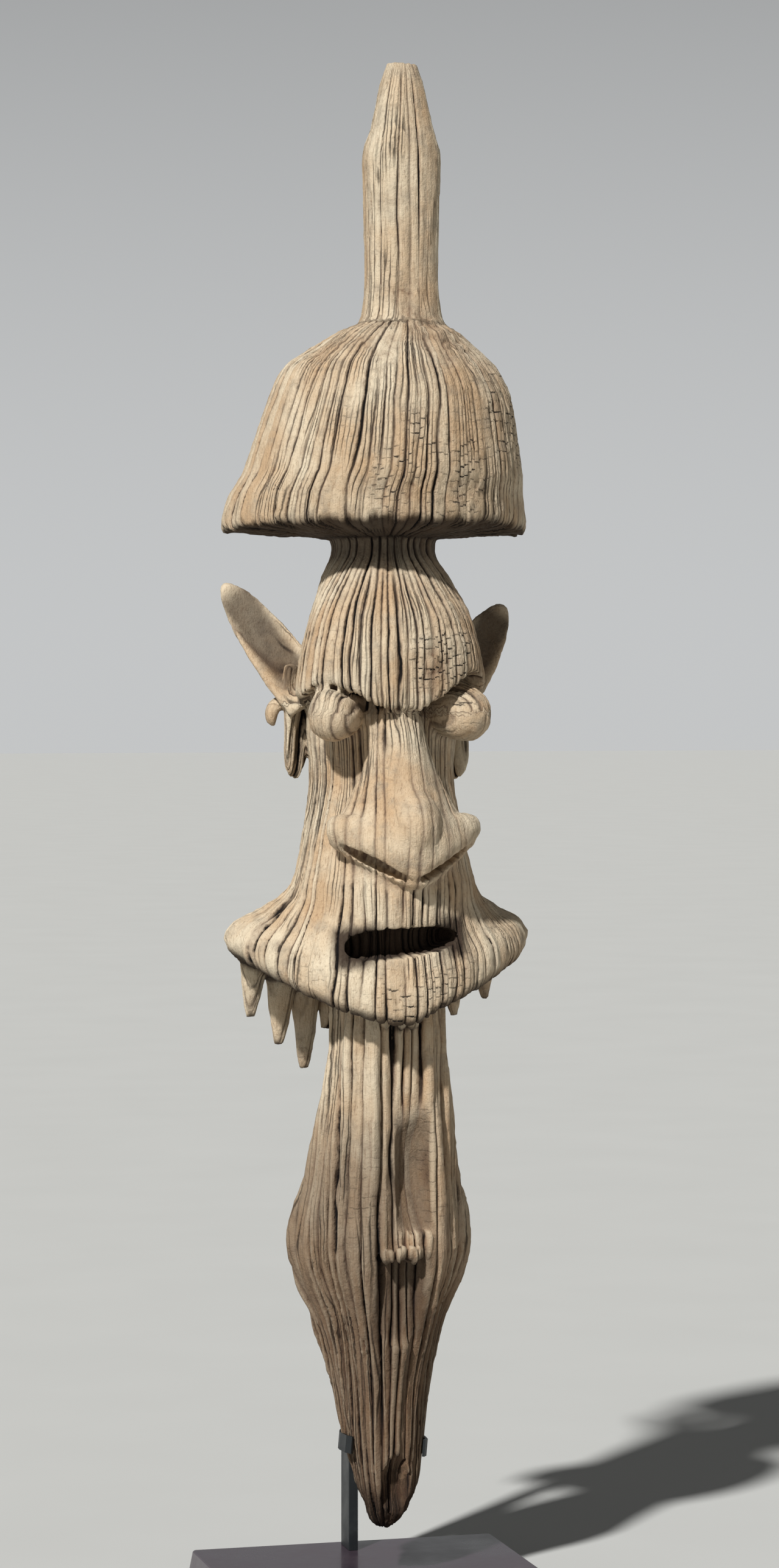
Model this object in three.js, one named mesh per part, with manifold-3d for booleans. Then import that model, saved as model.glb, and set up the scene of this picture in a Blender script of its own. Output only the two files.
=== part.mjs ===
// A weathered wooden face carving, standing on its metal stand.
// Millimetres, +Z up, the face looks along -Y, origin at the centre of the foot's underside.
// X is to the viewer's right of the face. The carving is one log: spire, cap, head, jaw and shaft.
import * as THREE from 'three';
import Module from 'manifold-3d';

const wasm = await Module();
wasm.setup();

// Driving dimensions of the stand.
const FOOT_TOP_HALF = 196;
const FOOT_BOTTOM_HALF = 201;
const FOOT_HEIGHT = 30;
const FOOT_CORNER = 5;
const FOOT_EDGE = 1.5;
const POST_WIDTH = 12;
const POST_DEPTH = 40;
const POST_FRONT_Y = 140;
const POST_TOP_Z = 1150;
const STRIP_THICK = 3;
const STRIP_TALL = 21;
const CRADLE_Z = 192;
const CRADLE_ROLL = THREE.MathUtils.degToRad(5);
const SADDLE_Z = 985;
const SADDLE_WIDTH = 90;
const SADDLE_TALL = 44;
const JOINT_GAP = 0.3;

// Driving dimensions of the carving: heights of its landmarks.
const TIP_Z = 87.5;
const KEEL_Z = 436;
const JAW_FRONT_Z = 716;
const MOUTH_Z = 816;
const NOSE_BASE_Z = 880;
const EYE_Z = 1087;
const BROW_Z = 1094;
const NECK_Z = 1302;
const SPIRE_BASE_Z = 1574;
const SPIRE_TOP_Z = 1887;

// Value at row position t of a list, on a smooth curve that never overshoots its rows.
function smoothAt(values, t) {
  const last = values.length - 1;
  const i = Math.min(Math.floor(t), last - 1);
  const f = t - i;
  const step = (k) => values[Math.min(Math.max(k, 0), last - 1) + 1] - values[Math.min(Math.max(k, 0), last - 1)];
  const slope = (k) => {
    const before = step(k - 1);
    const after = step(k);
    return before * after > 0 ? (2 * before * after) / (before + after) : 0;
  };
  const rise = values[i + 1] - values[i];
  const s0 = slope(i);
  const s1 = slope(i + 1);
  return values[i] + s0 * f + (3 * rise - 2 * s0 - s1) * f * f + (s0 + s1 - 2 * rise) * f * f * f;
}

// One section at row position t of a table, whose rows give the same measures by name.
function sectionAt(table, t) {
  const section = {};
  for (const key of Object.keys(table[0])) {
    section[key] = smoothAt(table.map((row) => row[key]), t);
  }
  return section;
}

// Closed solid over a grid: rows of closed rings, with a fan over the first and the last ring.
function skin(rows, columns, pointAt) {
  const points = [];
  for (let i = 0; i < rows; i++) {
    for (let j = 0; j < columns; j++) {
      points.push(pointAt(i / (rows - 1), (2 * Math.PI * j) / columns));
    }
  }
  const triangles = [];
  for (let i = 0; i < rows - 1; i++) {
    for (let j = 0; j < columns; j++) {
      const a = i * columns + j;
      const b = i * columns + ((j + 1) % columns);
      triangles.push([a, b, b + columns], [a, b + columns, a + columns]);
    }
  }
  for (const [start, flip] of [[0, true], [(rows - 1) * columns, false]]) {
    const ring = points.slice(start, start + columns);
    const centre = ring.reduce((sum, p) => sum.add(p), new THREE.Vector3()).divideScalar(columns);
    const c = points.push(centre) - 1;
    for (let j = 0; j < columns; j++) {
      const a = start + j;
      const b = start + ((j + 1) % columns);
      triangles.push(flip ? [b, a, c] : [a, b, c]);
    }
  }
  return solidOf(points, triangles);
}

// Solid from points and triangles, turned the right way out by the sign of its volume.
function solidOf(points, triangles) {
  let volume = 0;
  for (const [a, b, c] of triangles) {
    volume += points[a].dot(new THREE.Vector3().crossVectors(points[b], points[c]));
  }
  const order = volume > 0 ? [0, 1, 2] : [0, 2, 1];
  return new wasm.Manifold(new wasm.Mesh({
    numProp: 3,
    vertProperties: Float32Array.from(points.flatMap((p) => [p.x, p.y, p.z])),
    triVerts: Uint32Array.from(triangles.flatMap((t) => order.map((k) => t[k]))),
  }));
}

// Geometry of a solid, flat shaded.
function geometryOf(solid) {
  const mesh = solid.getMesh();
  const geometry = new THREE.BufferGeometry();
  geometry.setAttribute('position', new THREE.BufferAttribute(new Float32Array(mesh.vertProperties), 3));
  geometry.setIndex(new THREE.BufferAttribute(new Uint32Array(mesh.triVerts), 1));
  geometry.computeVertexNormals();
  return geometry;
}

const signedPower = (value, power) => Math.sign(value) * Math.abs(value) ** power;

// Point of a horizontal section at an angle. The section is widest, side, at its middle plane y,
// reaches front and back from it, is pointed at the sides where point is over 1 and squarish under 1,
// and its ring climbs by rise towards the sides, faster at first where curve is low.
function sectionPoint(s, angle, curve = 1.6) {
  const c = Math.cos(angle);
  const n = Math.sin(angle);
  const x = s.x + s.side * signedPower(c, s.point < 1 ? s.point : 1);
  const y = s.y + (n < 0 ? s.front : s.back) * signedPower(n, s.point);
  return new THREE.Vector3(x, y, s.z + (s.rise ?? 0) * Math.abs(c) ** curve);
}

function loft(table, rows, columns, shape = sectionPoint) {
  return skin(rows, columns, (u, angle) => shape(sectionAt(table, u * (table.length - 1)), angle));
}

// Cap with its nearly flat underside, its worn rim with a point at each side, its dome and its spire.
const CAP_SECTIONS = [
  { z: NECK_Z, x: 0, y: 0, side: 52, front: 48, back: 48, point: 1, rise: 0 },
  { z: 1309, x: 0, y: 14, side: 110, front: 96, back: 84, point: 1, rise: 0 },
  { z: 1315, x: 0, y: 34, side: 176, front: 156, back: 116, point: 1.05, rise: 0 },
  { z: 1320, x: 0, y: 39, side: 198, front: 175, back: 127, point: 1.2, rise: -5 },
  { z: 1336, x: 0, y: 37, side: 198, front: 178, back: 130, point: 1.15, rise: -6 },
  { z: 1374, x: 0, y: 20, side: 187, front: 167, back: 136, point: 1, rise: 0 },
  { z: 1428, x: 3, y: 8, side: 175, front: 158, back: 138, point: 1, rise: 0 },
  { z: 1484, x: 6, y: 2, side: 156, front: 143, back: 126, point: 1, rise: 0 },
  { z: 1528, x: 8, y: -4, side: 124, front: 112, back: 102, point: 1, rise: 0 },
  { z: 1557, x: 16, y: -15, side: 82, front: 72, back: 66, point: 0.95, rise: 0 },
  { z: SPIRE_BASE_Z, x: 18, y: -22, side: 50, front: 44, back: 42, point: 0.85, rise: 0 },
  { z: 1640, x: 18, y: -23, side: 44, front: 38, back: 37, point: 0.8, rise: 0 },
  { z: 1768, x: 18, y: -24, side: 47, front: 39, back: 38, point: 0.8, rise: 0 },
  { z: 1806, x: 18, y: -27, side: 37, front: 33, back: 32, point: 0.85, rise: 0 },
  { z: 1866, x: 18, y: -27, side: 24, front: 22, back: 21, point: 0.9, rise: 0 },
  { z: SPIRE_TOP_Z, x: 18, y: -27, side: 15, front: 13, back: 12, point: 1, rise: 0 },
];

function capAndSpire() {
  return loft(CAP_SECTIONS, 22, 40);
}

// Head: a bell that widens down to the brow. The brow's lower edge is two arches over the eyes,
// the viewer's left one lower than the right one, with a lobe hanging between them.
const BROW_ARCH = { left: 32, right: 46 };
const HEAD_SECTIONS = [
  { z: BROW_Z + 14, x: 0, y: -34, side: 78, front: 48, back: 84, point: 1, edge: 1 },
  { z: BROW_Z, x: 0, y: -38, side: 112, front: 80, back: 104, point: 1, edge: 1 },
  { z: BROW_Z + 9, x: 0, y: -39, side: 116, front: 87, back: 108, point: 1, edge: 0.95 },
  { z: BROW_Z + 60, x: 0, y: -39, side: 113, front: 88, back: 106, point: 1, edge: 0.35 },
  { z: 1200, x: 0, y: -38, side: 101, front: 82, back: 102, point: 1, edge: 0 },
  { z: 1257, x: 0, y: -17, side: 79, front: 67, back: 76, point: 1, edge: 0 },
  { z: 1290, x: 0, y: -4, side: 64, front: 58, back: 62, point: 1, edge: 0 },
  { z: NECK_Z + 14, x: 0, y: -2, side: 64, front: 58, back: 62, point: 1, edge: 0 },
];

function browRise(c, front) {
  const arch = c < 0 ? BROW_ARCH.left : BROW_ARCH.right;
  const side = Math.sin(Math.PI / 1.2) * arch;
  return front ? arch * Math.sin((Math.PI * Math.abs(c) ** 2.2) / 1.2) : side * Math.abs(c);
}

function headPoint(s, angle) {
  const p = sectionPoint(s, angle);
  p.z += s.edge * browRise(Math.cos(angle), Math.sin(angle) < 0);
  return p;
}

function headBell() {
  return loft(HEAD_SECTIONS, 12, 40, headPoint);
}

// Face column and flared jaw: the rings climb from the chin towards the jaw's two pointed tips.
const JAW_TIP_RISE = 88;
const JAW_RIM_CURVE = { left: 1.75, right: 1 };
const FACE_SECTIONS = [
  { z: JAW_FRONT_Z + 26, x: 0, y: 10, side: 80, front: 84, back: 50, point: 1.1, rise: 24 },
  { z: JAW_FRONT_Z + 4, x: 0, y: 24, side: 160, front: 142, back: 72, point: 1.4, rise: 64 },
  { z: JAW_FRONT_Z, x: 0, y: 27, side: 187, front: 156, back: 80, point: 1.45, rise: JAW_TIP_RISE - 8 },
  { z: JAW_FRONT_Z + 14, x: 0, y: 27, side: 195, front: 167, back: 82, point: 1.4, rise: JAW_TIP_RISE - 2 },
  { z: JAW_FRONT_Z + 32, x: 0, y: 27, side: 186, front: 167, back: 82, point: 1.3, rise: JAW_TIP_RISE - 4 },
  { z: 788, x: 0, y: 22, side: 148, front: 154, back: 80, point: 1.15, rise: 64 },
  { z: 832, x: 0, y: 14, side: 122, front: 142, back: 78, point: 1.05, rise: 38 },
  { z: 884, x: 0, y: -2, side: 110, front: 124, back: 84, point: 1, rise: 8 },
  { z: 946, x: 0, y: 1, side: 98, front: 105, back: 84, point: 0.95, rise: 0 },
  { z: 1013, x: 0, y: 8, side: 88, front: 84, back: 80, point: 0.9, rise: 0 },
  { z: 1080, x: 0, y: 6, side: 92, front: 80, back: 78, point: 0.9, rise: 0 },
  { z: 1190, x: 0, y: -6, side: 84, front: 60, back: 66, point: 1, rise: 0 },
];

function facePoint(s, angle) {
  return sectionPoint(s, angle, Math.cos(angle) < 0 ? JAW_RIM_CURVE.left : JAW_RIM_CURVE.right);
}

function faceAndJaw() {
  return loft(FACE_SECTIONS, 16, 44, facePoint);
}

// Shaft: deep flutes run down it, and its two side corners are widest at the keel.
const FLUTE_COUNT = 12;
const SHAFT_SECTIONS = [
  { z: TIP_Z, x: 2, y: -4, side: 7, front: 7, back: 7, point: 1, flute: 0 },
  { z: 96, x: 3, y: -5, side: 18, front: 19, back: 19, point: 1, flute: 0.5 },
  { z: 134, x: 4, y: -8, side: 35, front: 38, back: 36, point: 1, flute: 2 },
  { z: 190, x: 1, y: -4, side: 47, front: 46, back: 46, point: 1, flute: 2.5 },
  { z: 263, x: 0, y: 10, side: 60, front: 66, back: 52, point: 1.1, flute: 3 },
  { z: 340, x: 0, y: 28, side: 80, front: 104, back: 50, point: 1.3, flute: 4 },
  { z: KEEL_Z, x: 0, y: 20, side: 114, front: 120, back: 62, point: 1.4, flute: 4.5 },
  { z: 526, x: 0, y: 4, side: 95, front: 102, back: 66, point: 1.15, flute: 4.5 },
  { z: 606, x: 0, y: -12, side: 80, front: 82, back: 66, point: 1, flute: 4 },
  { z: 694, x: 0, y: -25, side: 69, front: 65, back: 66, point: 0.95, flute: 3.5 },
  { z: 752, x: 0, y: -22, side: 68, front: 60, back: 64, point: 0.95, flute: 3 },
];

function shaftPoint(s, angle) {
  const p = sectionPoint(s, angle);
  const groove = 0.5 - 0.5 * Math.cos(FLUTE_COUNT * angle);
  const keep = 1 - (s.flute * groove) / Math.hypot(p.x - s.x, p.y - s.y);
  p.x = s.x + (p.x - s.x) * keep;
  p.y = s.y + (p.y - s.y) * keep;
  return p;
}

function shaft() {
  return loft(SHAFT_SECTIONS, 13, 48, shaftPoint);
}

// Solid carried along a straight line or an arc: pathAt gives its middle, and the ring at u lies in
// the plane of the two given directions, with half sizes from halfAt.
function carried(rows, columns, pathAt, across, along, halfAt) {
  return skin(rows, columns, (u, angle) => {
    const [a, b] = halfAt(u, angle);
    return pathAt(u).addScaledVector(across, a * Math.cos(angle)).addScaledVector(along, b * Math.sin(angle));
  });
}

const lerpPoint = (from, to, u) => new THREE.Vector3().lerpVectors(from, to, u);
const roundEnd = (u, power) => Math.max(1 - u ** power, 0) ** 0.5;

// Ear: a leaf that leans outwards and back, hollow on its front face, with a rounded rim.
const EAR = { rootX: 86, rootY: 12, rootZ: 1104, tipX: 180, tipY: 84, leftTipZ: 1250, rightTipZ: 1222 };
const EAR_HALF_WIDTH = 36;
const EAR_HALF_THICK = 12;
const EAR_HOLLOW = 18;

function ear(side) {
  const root = new THREE.Vector3(side * EAR.rootX, EAR.rootY, EAR.rootZ);
  const tip = new THREE.Vector3(side * EAR.tipX, EAR.tipY, side < 0 ? EAR.leftTipZ : EAR.rightTipZ);
  const length = tip.clone().sub(root).normalize();
  const facing = new THREE.Vector3(side * 0.1, -1, 0.35).projectOnPlane(length).normalize();
  const across = new THREE.Vector3().crossVectors(length, facing).normalize();
  return skin(9, 12, (u, angle) => {
    const s = 0.004 + 0.992 * u;
    const width = EAR_HALF_WIDTH * (0.9 + 0.35 * s - 0.35 * s * s) * roundEnd(s, 5);
    const thick = EAR_HALF_THICK * (1.25 - 0.35 * s) * roundEnd(s, 6);
    const c = Math.cos(angle);
    const n = Math.sin(angle);
    const hollow = n > 0 ? EAR_HOLLOW * (1 - c * c) ** 2 * Math.sin(Math.PI * Math.min(s * 1.1, 1)) ** 0.6 : 0;
    const p = lerpPoint(root, tip, s);
    return p.addScaledVector(across, width * c).addScaledVector(facing, thick * n - hollow);
  });
}

// Lobe: the flap that hangs beside the cheek below each ear, and the small curl outside it.
const LOBE = { x: 99, y: 34, topZ: 1152, bottomZ: 1010, halfWidth: 23, halfThick: 15 };
const CURL = { x: 131, y: 38, z: 1080, radius: 13 };

function lobe(side) {
  const top = new THREE.Vector3(side * (LOBE.x - 4), LOBE.y, LOBE.topZ);
  const bottom = new THREE.Vector3(side * LOBE.x, LOBE.y, LOBE.bottomZ);
  const across = new THREE.Vector3(0.94, side * 0.34, 0);
  const facing = new THREE.Vector3(-side * 0.34, 0.94, 0);
  return carried(5, 8, (u) => lerpPoint(top, bottom, u), across, facing, (u) => [
    LOBE.halfWidth * (1.1 - 0.2 * u) * roundEnd(0.97 * u, 8),
    LOBE.halfThick * roundEnd(0.97 * u, 8),
  ]);
}

function curl(side) {
  const inner = new THREE.Vector3(side * (CURL.x - 34), CURL.y - 4, CURL.z + 20);
  const outer = new THREE.Vector3(side * (CURL.x + CURL.radius), CURL.y, CURL.z - 6);
  const across = new THREE.Vector3(0.3, 0, side * 0.95);
  const along = new THREE.Vector3(0, 1, 0);
  const half = (u) => [CURL.radius * 1.2 * roundEnd(0.98 * u, 4), CURL.radius * roundEnd(0.98 * u, 4)];
  return carried(5, 7, (u) => lerpPoint(inner, outer, u), across, along, half);
}

// Eye: an egg-shaped knob that stands out from the face, forwards and to its side.
const EYE = { rootX: 48, rootY: -34, x: 84, y: -84, radius: 34, reach: 30 };

function eye(side) {
  const root = new THREE.Vector3(side * EYE.rootX, EYE.rootY, EYE_Z + 12);
  const middle = new THREE.Vector3(side * EYE.x, EYE.y, EYE_Z);
  const outwards = middle.clone().sub(root);
  const end = middle.clone().addScaledVector(outwards.clone().normalize(), EYE.reach);
  const across = new THREE.Vector3().crossVectors(outwards, new THREE.Vector3(0, 0, 1)).normalize();
  const along = new THREE.Vector3().crossVectors(outwards, across).normalize();
  const half = (u, angle) => {
    const s = 0.99 * u;
    const radius = EYE.radius * (0.72 + 0.5 * s) * roundEnd(s, 3.2);
    return [radius, radius * (Math.sin(angle) < 0 ? 1.15 : 1)];
  };
  return carried(7, 12, (u) => lerpPoint(root, end, 0.99 * u), across, along, half);
}

// Nose: a ridge that widens down to an egg-shaped end, over a V-shaped base that runs out to the wings.
const NOSE_SECTIONS = [
  { z: NOSE_BASE_Z, x: 6, y: -90, side: 12, front: 52, back: 40, point: 1 },
  { z: NOSE_BASE_Z + 9, x: 5, y: -90, side: 32, front: 60, back: 45, point: 1 },
  { z: NOSE_BASE_Z + 24, x: 3, y: -92, side: 55, front: 64, back: 50, point: 1.1 },
  { z: NOSE_BASE_Z + 42, x: 1, y: -94, side: 78, front: 66, back: 55, point: 1.3 },
  { z: NOSE_BASE_Z + 56, x: 0, y: -94, side: 92, front: 64, back: 60, point: 1.5 },
  { z: 952, x: 0, y: -88, side: 86, front: 66, back: 50, point: 1.4 },
  { z: 985, x: 1, y: -70, side: 64, front: 72, back: 30, point: 1.15 },
  { z: 1030, x: 0, y: -60, side: 44, front: 68, back: 20, point: 1 },
  { z: 1100, x: -2, y: -50, side: 30, front: 62, back: 20, point: 1 },
];
const BULB = { x: 4, y: -124, z: 954, halfWidth: 35, halfDepth: 44, halfTall: 48 };
const WING = { rootX: 40, rootY: -116, rootZ: 950, tipX: 94, tipY: -94, tipZ: 952, radius: 16 };

function noseBody() {
  return loft(NOSE_SECTIONS, 9, 20);
}

function noseBulb() {
  return skin(7, 12, (u, angle) => {
    const lift = Math.PI * (0.03 + 0.94 * u);
    const round = Math.sin(lift);
    return new THREE.Vector3(
      BULB.x + BULB.halfWidth * round * Math.cos(angle),
      BULB.y + BULB.halfDepth * round * Math.sin(angle),
      BULB.z - BULB.halfTall * Math.cos(lift),
    );
  });
}

function noseWing(side) {
  const root = new THREE.Vector3(side * WING.rootX, WING.rootY, WING.rootZ);
  const tip = new THREE.Vector3(side * WING.tipX, WING.tipY, WING.tipZ);
  const across = new THREE.Vector3(0, 0, 1);
  const along = new THREE.Vector3(side * 0.3, -0.95, 0);
  const half = (u) => {
    const radius = WING.radius * (1.4 - 0.4 * u) * roundEnd(0.97 * u, 12);
    return [radius, radius * 0.9];
  };
  return carried(6, 8, (u) => lerpPoint(root, tip, u), across, along, half);
}

// Nostril: the long slot under each wing, above the thin edge of the nose's base.
const NOSTRIL = { innerX: 24, innerY: -152, innerZ: 902, outerX: 84, outerY: -112, outerZ: 932, halfTall: 7 };

function nostril(side) {
  const inner = new THREE.Vector3(side * NOSTRIL.innerX + BULB.x, NOSTRIL.innerY, NOSTRIL.innerZ);
  const outer = new THREE.Vector3(side * NOSTRIL.outerX, NOSTRIL.outerY, NOSTRIL.outerZ);
  const across = new THREE.Vector3(0, 0, 1);
  const along = new THREE.Vector3(side * 0.55, -0.83, 0);
  const half = (u) => {
    const open = Math.sin(Math.PI * (0.06 + 0.88 * u)) ** 0.6;
    return [NOSTRIL.halfTall * open, 30 * open];
  };
  return carried(6, 7, (u) => lerpPoint(inner, outer, u), across, along, half);
}

// Mouth: a wide slot, open towards the front and deep, a little higher at the viewer's right.
const MOUTH = { x: -6, halfWidth: 71, halfTall: 17, front: -190, backMiddle: -84, backCorner: -58, tilt: 0.1 };

function mouth() {
  return skin(10, 8, (u, angle) => {
    const k = 0.985 * (2 * u - 1);
    const x = MOUTH.x + MOUTH.halfWidth * k;
    const back = MOUTH.backMiddle + (MOUTH.backCorner - MOUTH.backMiddle) * k * k;
    const tall = MOUTH.halfTall * (1 - 0.15 * k) * (1 - k ** 4) ** 0.7 + 1;
    const depth = (back - MOUTH.front) / 2;
    const y = MOUTH.front + depth + depth * signedPower(Math.sin(angle), 0.5);
    const z = MOUTH_Z + MOUTH.tilt * x + tall * signedPower(Math.cos(angle), 0.5);
    return new THREE.Vector3(x, y, z);
  });
}

// Teeth: spikes that hang in a row from the jaw's underside behind, the outer ones shorter,
// and a stump where one broke off.
const TOOTH_ROOT_Z = 800;
const STUMP_X = -45;
const TEETH = [
  { x: -151, y: 66, tipZ: 714, half: 20 },
  { x: -111, y: 82, tipZ: 678, half: 21 },
  { x: -77, y: 90, tipZ: 647, half: 22 },
  { x: STUMP_X, y: 90, tipZ: 697, half: 18 },
  { x: 78, y: 90, tipZ: 650, half: 22 },
  { x: 115, y: 82, tipZ: 709, half: 19 },
  { x: 151, y: 66, tipZ: 731, half: 16 },
];

function tooth(spec) {
  const blunt = spec.x === STUMP_X ? 0.55 : 0.28;
  const top = new THREE.Vector3(spec.x * 0.97, spec.y - 6, TOOTH_ROOT_Z);
  const tip = new THREE.Vector3(spec.x, spec.y, spec.tipZ);
  const across = new THREE.Vector3(1, 0, 0);
  const along = new THREE.Vector3(0, 1, 0);
  const half = (u) => {
    const size = spec.half * (1 - (1 - blunt) * u ** 1.6);
    return [size, size * 0.8];
  };
  return carried(4, 6, (u) => lerpPoint(top, tip, u), across, along, half);
}

// Hollows in the front of the shaft: a shallow channel, a spoon-cut pocket to its right, the notch
// under the splintered ledge, and the rotten hollow near the tip.
const CHANNEL = { x: 2, halfWidth: 37, topZ: 712, ledgeZ: 442, floor: 20 };
const POCKET = { x: 17, halfWidth: 24, topZ: 612, bottomZ: 462, floor: 40 };
const NOTCH = { x: 2, halfWidth: 35, topZ: 430, bottomZ: 322, floor: 34 };
const ROT = { x: 6, y: -50, z: 142, halfWidth: 20, halfDepth: 24, halfTall: 44 };

// Front face of the shaft at a height.
function shaftFront(z) {
  const rows = SHAFT_SECTIONS;
  let k = 0;
  while (k < rows.length - 2 && rows[k + 1].z < z) k++;
  const f = (z - rows[k].z) / (rows[k + 1].z - rows[k].z);
  const s = sectionAt(rows, k + f);
  return s.y - s.front;
}

// Cutter along a stretch of the shaft's front, with its depth below the front face from depthAt.
function frontCut(spec, topZ, bottomZ, depthAt) {
  return skin(7, 10, (u, angle) => {
    const z = topZ + (bottomZ - topZ) * u;
    const front = shaftFront(z);
    const depth = depthAt(u);
    const c = Math.cos(angle);
    const n = Math.sin(angle);
    const y = n > 0 ? front + depth * n ** 0.7 : front - 40 * Math.min(-n * 3, 1);
    return new THREE.Vector3(spec.x + spec.halfWidth * signedPower(c, 0.8), y, z);
  });
}

function shaftHollows() {
  const channelDepth = (u) => CHANNEL.floor * (0.35 + 0.65 * Math.sin(Math.PI * Math.min(0.1 + u * 0.75, 1)));
  const pocketDepth = (u) => POCKET.floor * Math.sin(Math.PI * (0.05 + 0.85 * u)) ** 0.7;
  const notchDepth = (u) => NOTCH.floor * (1 - 0.9 * u ** 1.5);
  const rot = skin(6, 8, (u, angle) => {
    const lift = Math.PI * (0.04 + 0.92 * u);
    return new THREE.Vector3(
      ROT.x + ROT.halfWidth * Math.sin(lift) * Math.cos(angle),
      ROT.y + ROT.halfDepth * Math.sin(lift) * Math.sin(angle),
      ROT.z - ROT.halfTall * Math.cos(lift),
    );
  });
  return [
    frontCut(CHANNEL, CHANNEL.topZ, CHANNEL.ledgeZ, channelDepth),
    frontCut(POCKET, POCKET.topZ, POCKET.bottomZ, pocketDepth),
    frontCut(NOTCH, NOTCH.topZ, NOTCH.bottomZ, notchDepth),
    rot,
  ];
}

function carvingSolid() {
  const added = [headBell(), faceAndJaw(), shaft(), noseBody(), noseBulb()];
  const cut = [mouth(), ...shaftHollows()];
  for (const side of [-1, 1]) {
    added.push(ear(side), lobe(side), curl(side), eye(side), noseWing(side));
    cut.push(nostril(side));
  }
  added.push(...TEETH.map(tooth));
  const whole = added.reduce((sum, solid) => sum.add(solid), capAndSpire());
  return cut.reduce((rest, solid) => rest.subtract(solid), whole);
}

// Foot: a heavy square plate with battered sides.
function footGeometry() {
  const rows = [
    [0, FOOT_BOTTOM_HALF - 1],
    [FOOT_EDGE, FOOT_BOTTOM_HALF],
    [FOOT_HEIGHT - FOOT_EDGE, FOOT_TOP_HALF + 0.6],
    [FOOT_HEIGHT, FOOT_TOP_HALF - 0.6],
  ];
  const perCorner = 5;
  return geometryOf(skin(rows.length, 4 * perCorner, (u, angle) => {
    const [z, half] = rows[Math.round(u * (rows.length - 1))];
    const k = Math.round((angle / (2 * Math.PI)) * 4 * perCorner);
    const corner = Math.floor(k / perCorner);
    const turn = (Math.PI / 2) * (corner + (k % perCorner) / (perCorner - 1));
    const sx = [1, -1, -1, 1][corner];
    const sy = [1, 1, -1, -1][corner];
    return new THREE.Vector3(
      sx * (half - FOOT_CORNER) + FOOT_CORNER * Math.cos(turn),
      sy * (half - FOOT_CORNER) + FOOT_CORNER * Math.sin(turn),
      z,
    );
  }));
}

// Post: a flat bar on edge, chamfered, standing on the foot behind the carving.
function postGeometry() {
  const chamfer = 1;
  const w = POST_WIDTH / 2;
  const d = POST_DEPTH / 2;
  const outline = new THREE.Shape([
    new THREE.Vector2(w, -d + chamfer),
    new THREE.Vector2(w, d - chamfer),
    new THREE.Vector2(w - chamfer, d),
    new THREE.Vector2(-w + chamfer, d),
    new THREE.Vector2(-w, d - chamfer),
    new THREE.Vector2(-w, -d + chamfer),
    new THREE.Vector2(-w + chamfer, -d),
    new THREE.Vector2(w - chamfer, -d),
  ]);
  const depth = POST_TOP_Z - FOOT_HEIGHT - JOINT_GAP;
  return new THREE.ExtrudeGeometry(outline, { depth, bevelEnabled: false });
}

// Block of a square bar from one y to another, centred on x = 0 and z = 0.
function armSolid(fromY, toY, width, tall) {
  return skin(2, 4, (u, angle) => new THREE.Vector3(
    (width / 2) * Math.sign(Math.cos(angle + Math.PI / 4)),
    fromY + (toY - fromY) * u,
    (tall / 2) * Math.sign(Math.sin(angle + Math.PI / 4)),
  ));
}

// Strip bent along a plan outline: outline gives the middle line, from its first end to its last.
function bentStrip(outline, tall) {
  const rows = outline.length;
  return skin(rows, 4, (u, angle) => {
    const i = Math.round(u * (rows - 1));
    const before = outline[Math.max(i - 1, 0)];
    const after = outline[Math.min(i + 1, rows - 1)];
    const across = new THREE.Vector2(after.y - before.y, before.x - after.x).normalize();
    const offset = (STRIP_THICK / 2) * Math.sign(Math.cos(angle + Math.PI / 4));
    const z = (tall / 2) * Math.sign(Math.sin(angle + Math.PI / 4));
    return new THREE.Vector3(outline[i].x + across.x * offset, outline[i].y + across.y * offset, z);
  });
}

// Lower cradle: a strip round the back and sides of the shaft, its two ends folded in as claws,
// on an arm from the post.
const CLAW_FRONT_Y = -20;
const CLAW_FOLD = 5;
const CRADLE_HALF = 52.5;
const CRADLE_BACK_Y = 52;

function cradleGeometry() {
  const outline = [];
  outline.push(new THREE.Vector2(-CRADLE_HALF + 2 + CLAW_FOLD, CLAW_FRONT_Y - CLAW_FOLD * 1.6));
  outline.push(new THREE.Vector2(-CRADLE_HALF + 2, CLAW_FRONT_Y));
  const steps = 16;
  for (let k = 0; k <= steps; k++) {
    const angle = Math.PI - (Math.PI * k) / steps;
    outline.push(new THREE.Vector2(CRADLE_HALF * Math.cos(angle), CRADLE_BACK_Y * Math.sin(angle)));
  }
  outline.push(new THREE.Vector2(CRADLE_HALF - 2, CLAW_FRONT_Y));
  outline.push(new THREE.Vector2(CRADLE_HALF - 2 - CLAW_FOLD, CLAW_FRONT_Y - CLAW_FOLD * 1.6));
  const strip = bentStrip(outline, STRIP_TALL);
  const arm = armSolid(CRADLE_BACK_Y, POST_FRONT_Y - JOINT_GAP, POST_WIDTH, STRIP_TALL - 4);
  return geometryOf(strip.add(arm));
}

// Upper saddle: a curved plate against the back of the face column, on an arm from the post.
const SADDLE_Y = 96;

function saddleGeometry() {
  const steps = 8;
  const outline = [];
  for (let k = 0; k <= steps; k++) {
    const x = SADDLE_WIDTH * (k / steps - 0.5);
    outline.push(new THREE.Vector2(x, SADDLE_Y - (x * x) / 320));
  }
  const plate = bentStrip(outline, SADDLE_TALL);
  const arm = armSolid(SADDLE_Y, POST_FRONT_Y - JOINT_GAP, POST_WIDTH, STRIP_TALL - 4);
  return geometryOf(plate.add(arm));
}

const materials = {
  wood: new THREE.MeshStandardMaterial({ color: 0xa78f77, roughness: 0.85, metalness: 0 }),
  foot: new THREE.MeshStandardMaterial({ color: 0x241c26, roughness: 0.3, metalness: 0.4 }),
  steel: new THREE.MeshStandardMaterial({ color: 0x1d2426, roughness: 0.45, metalness: 0.6 }),
};

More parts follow.
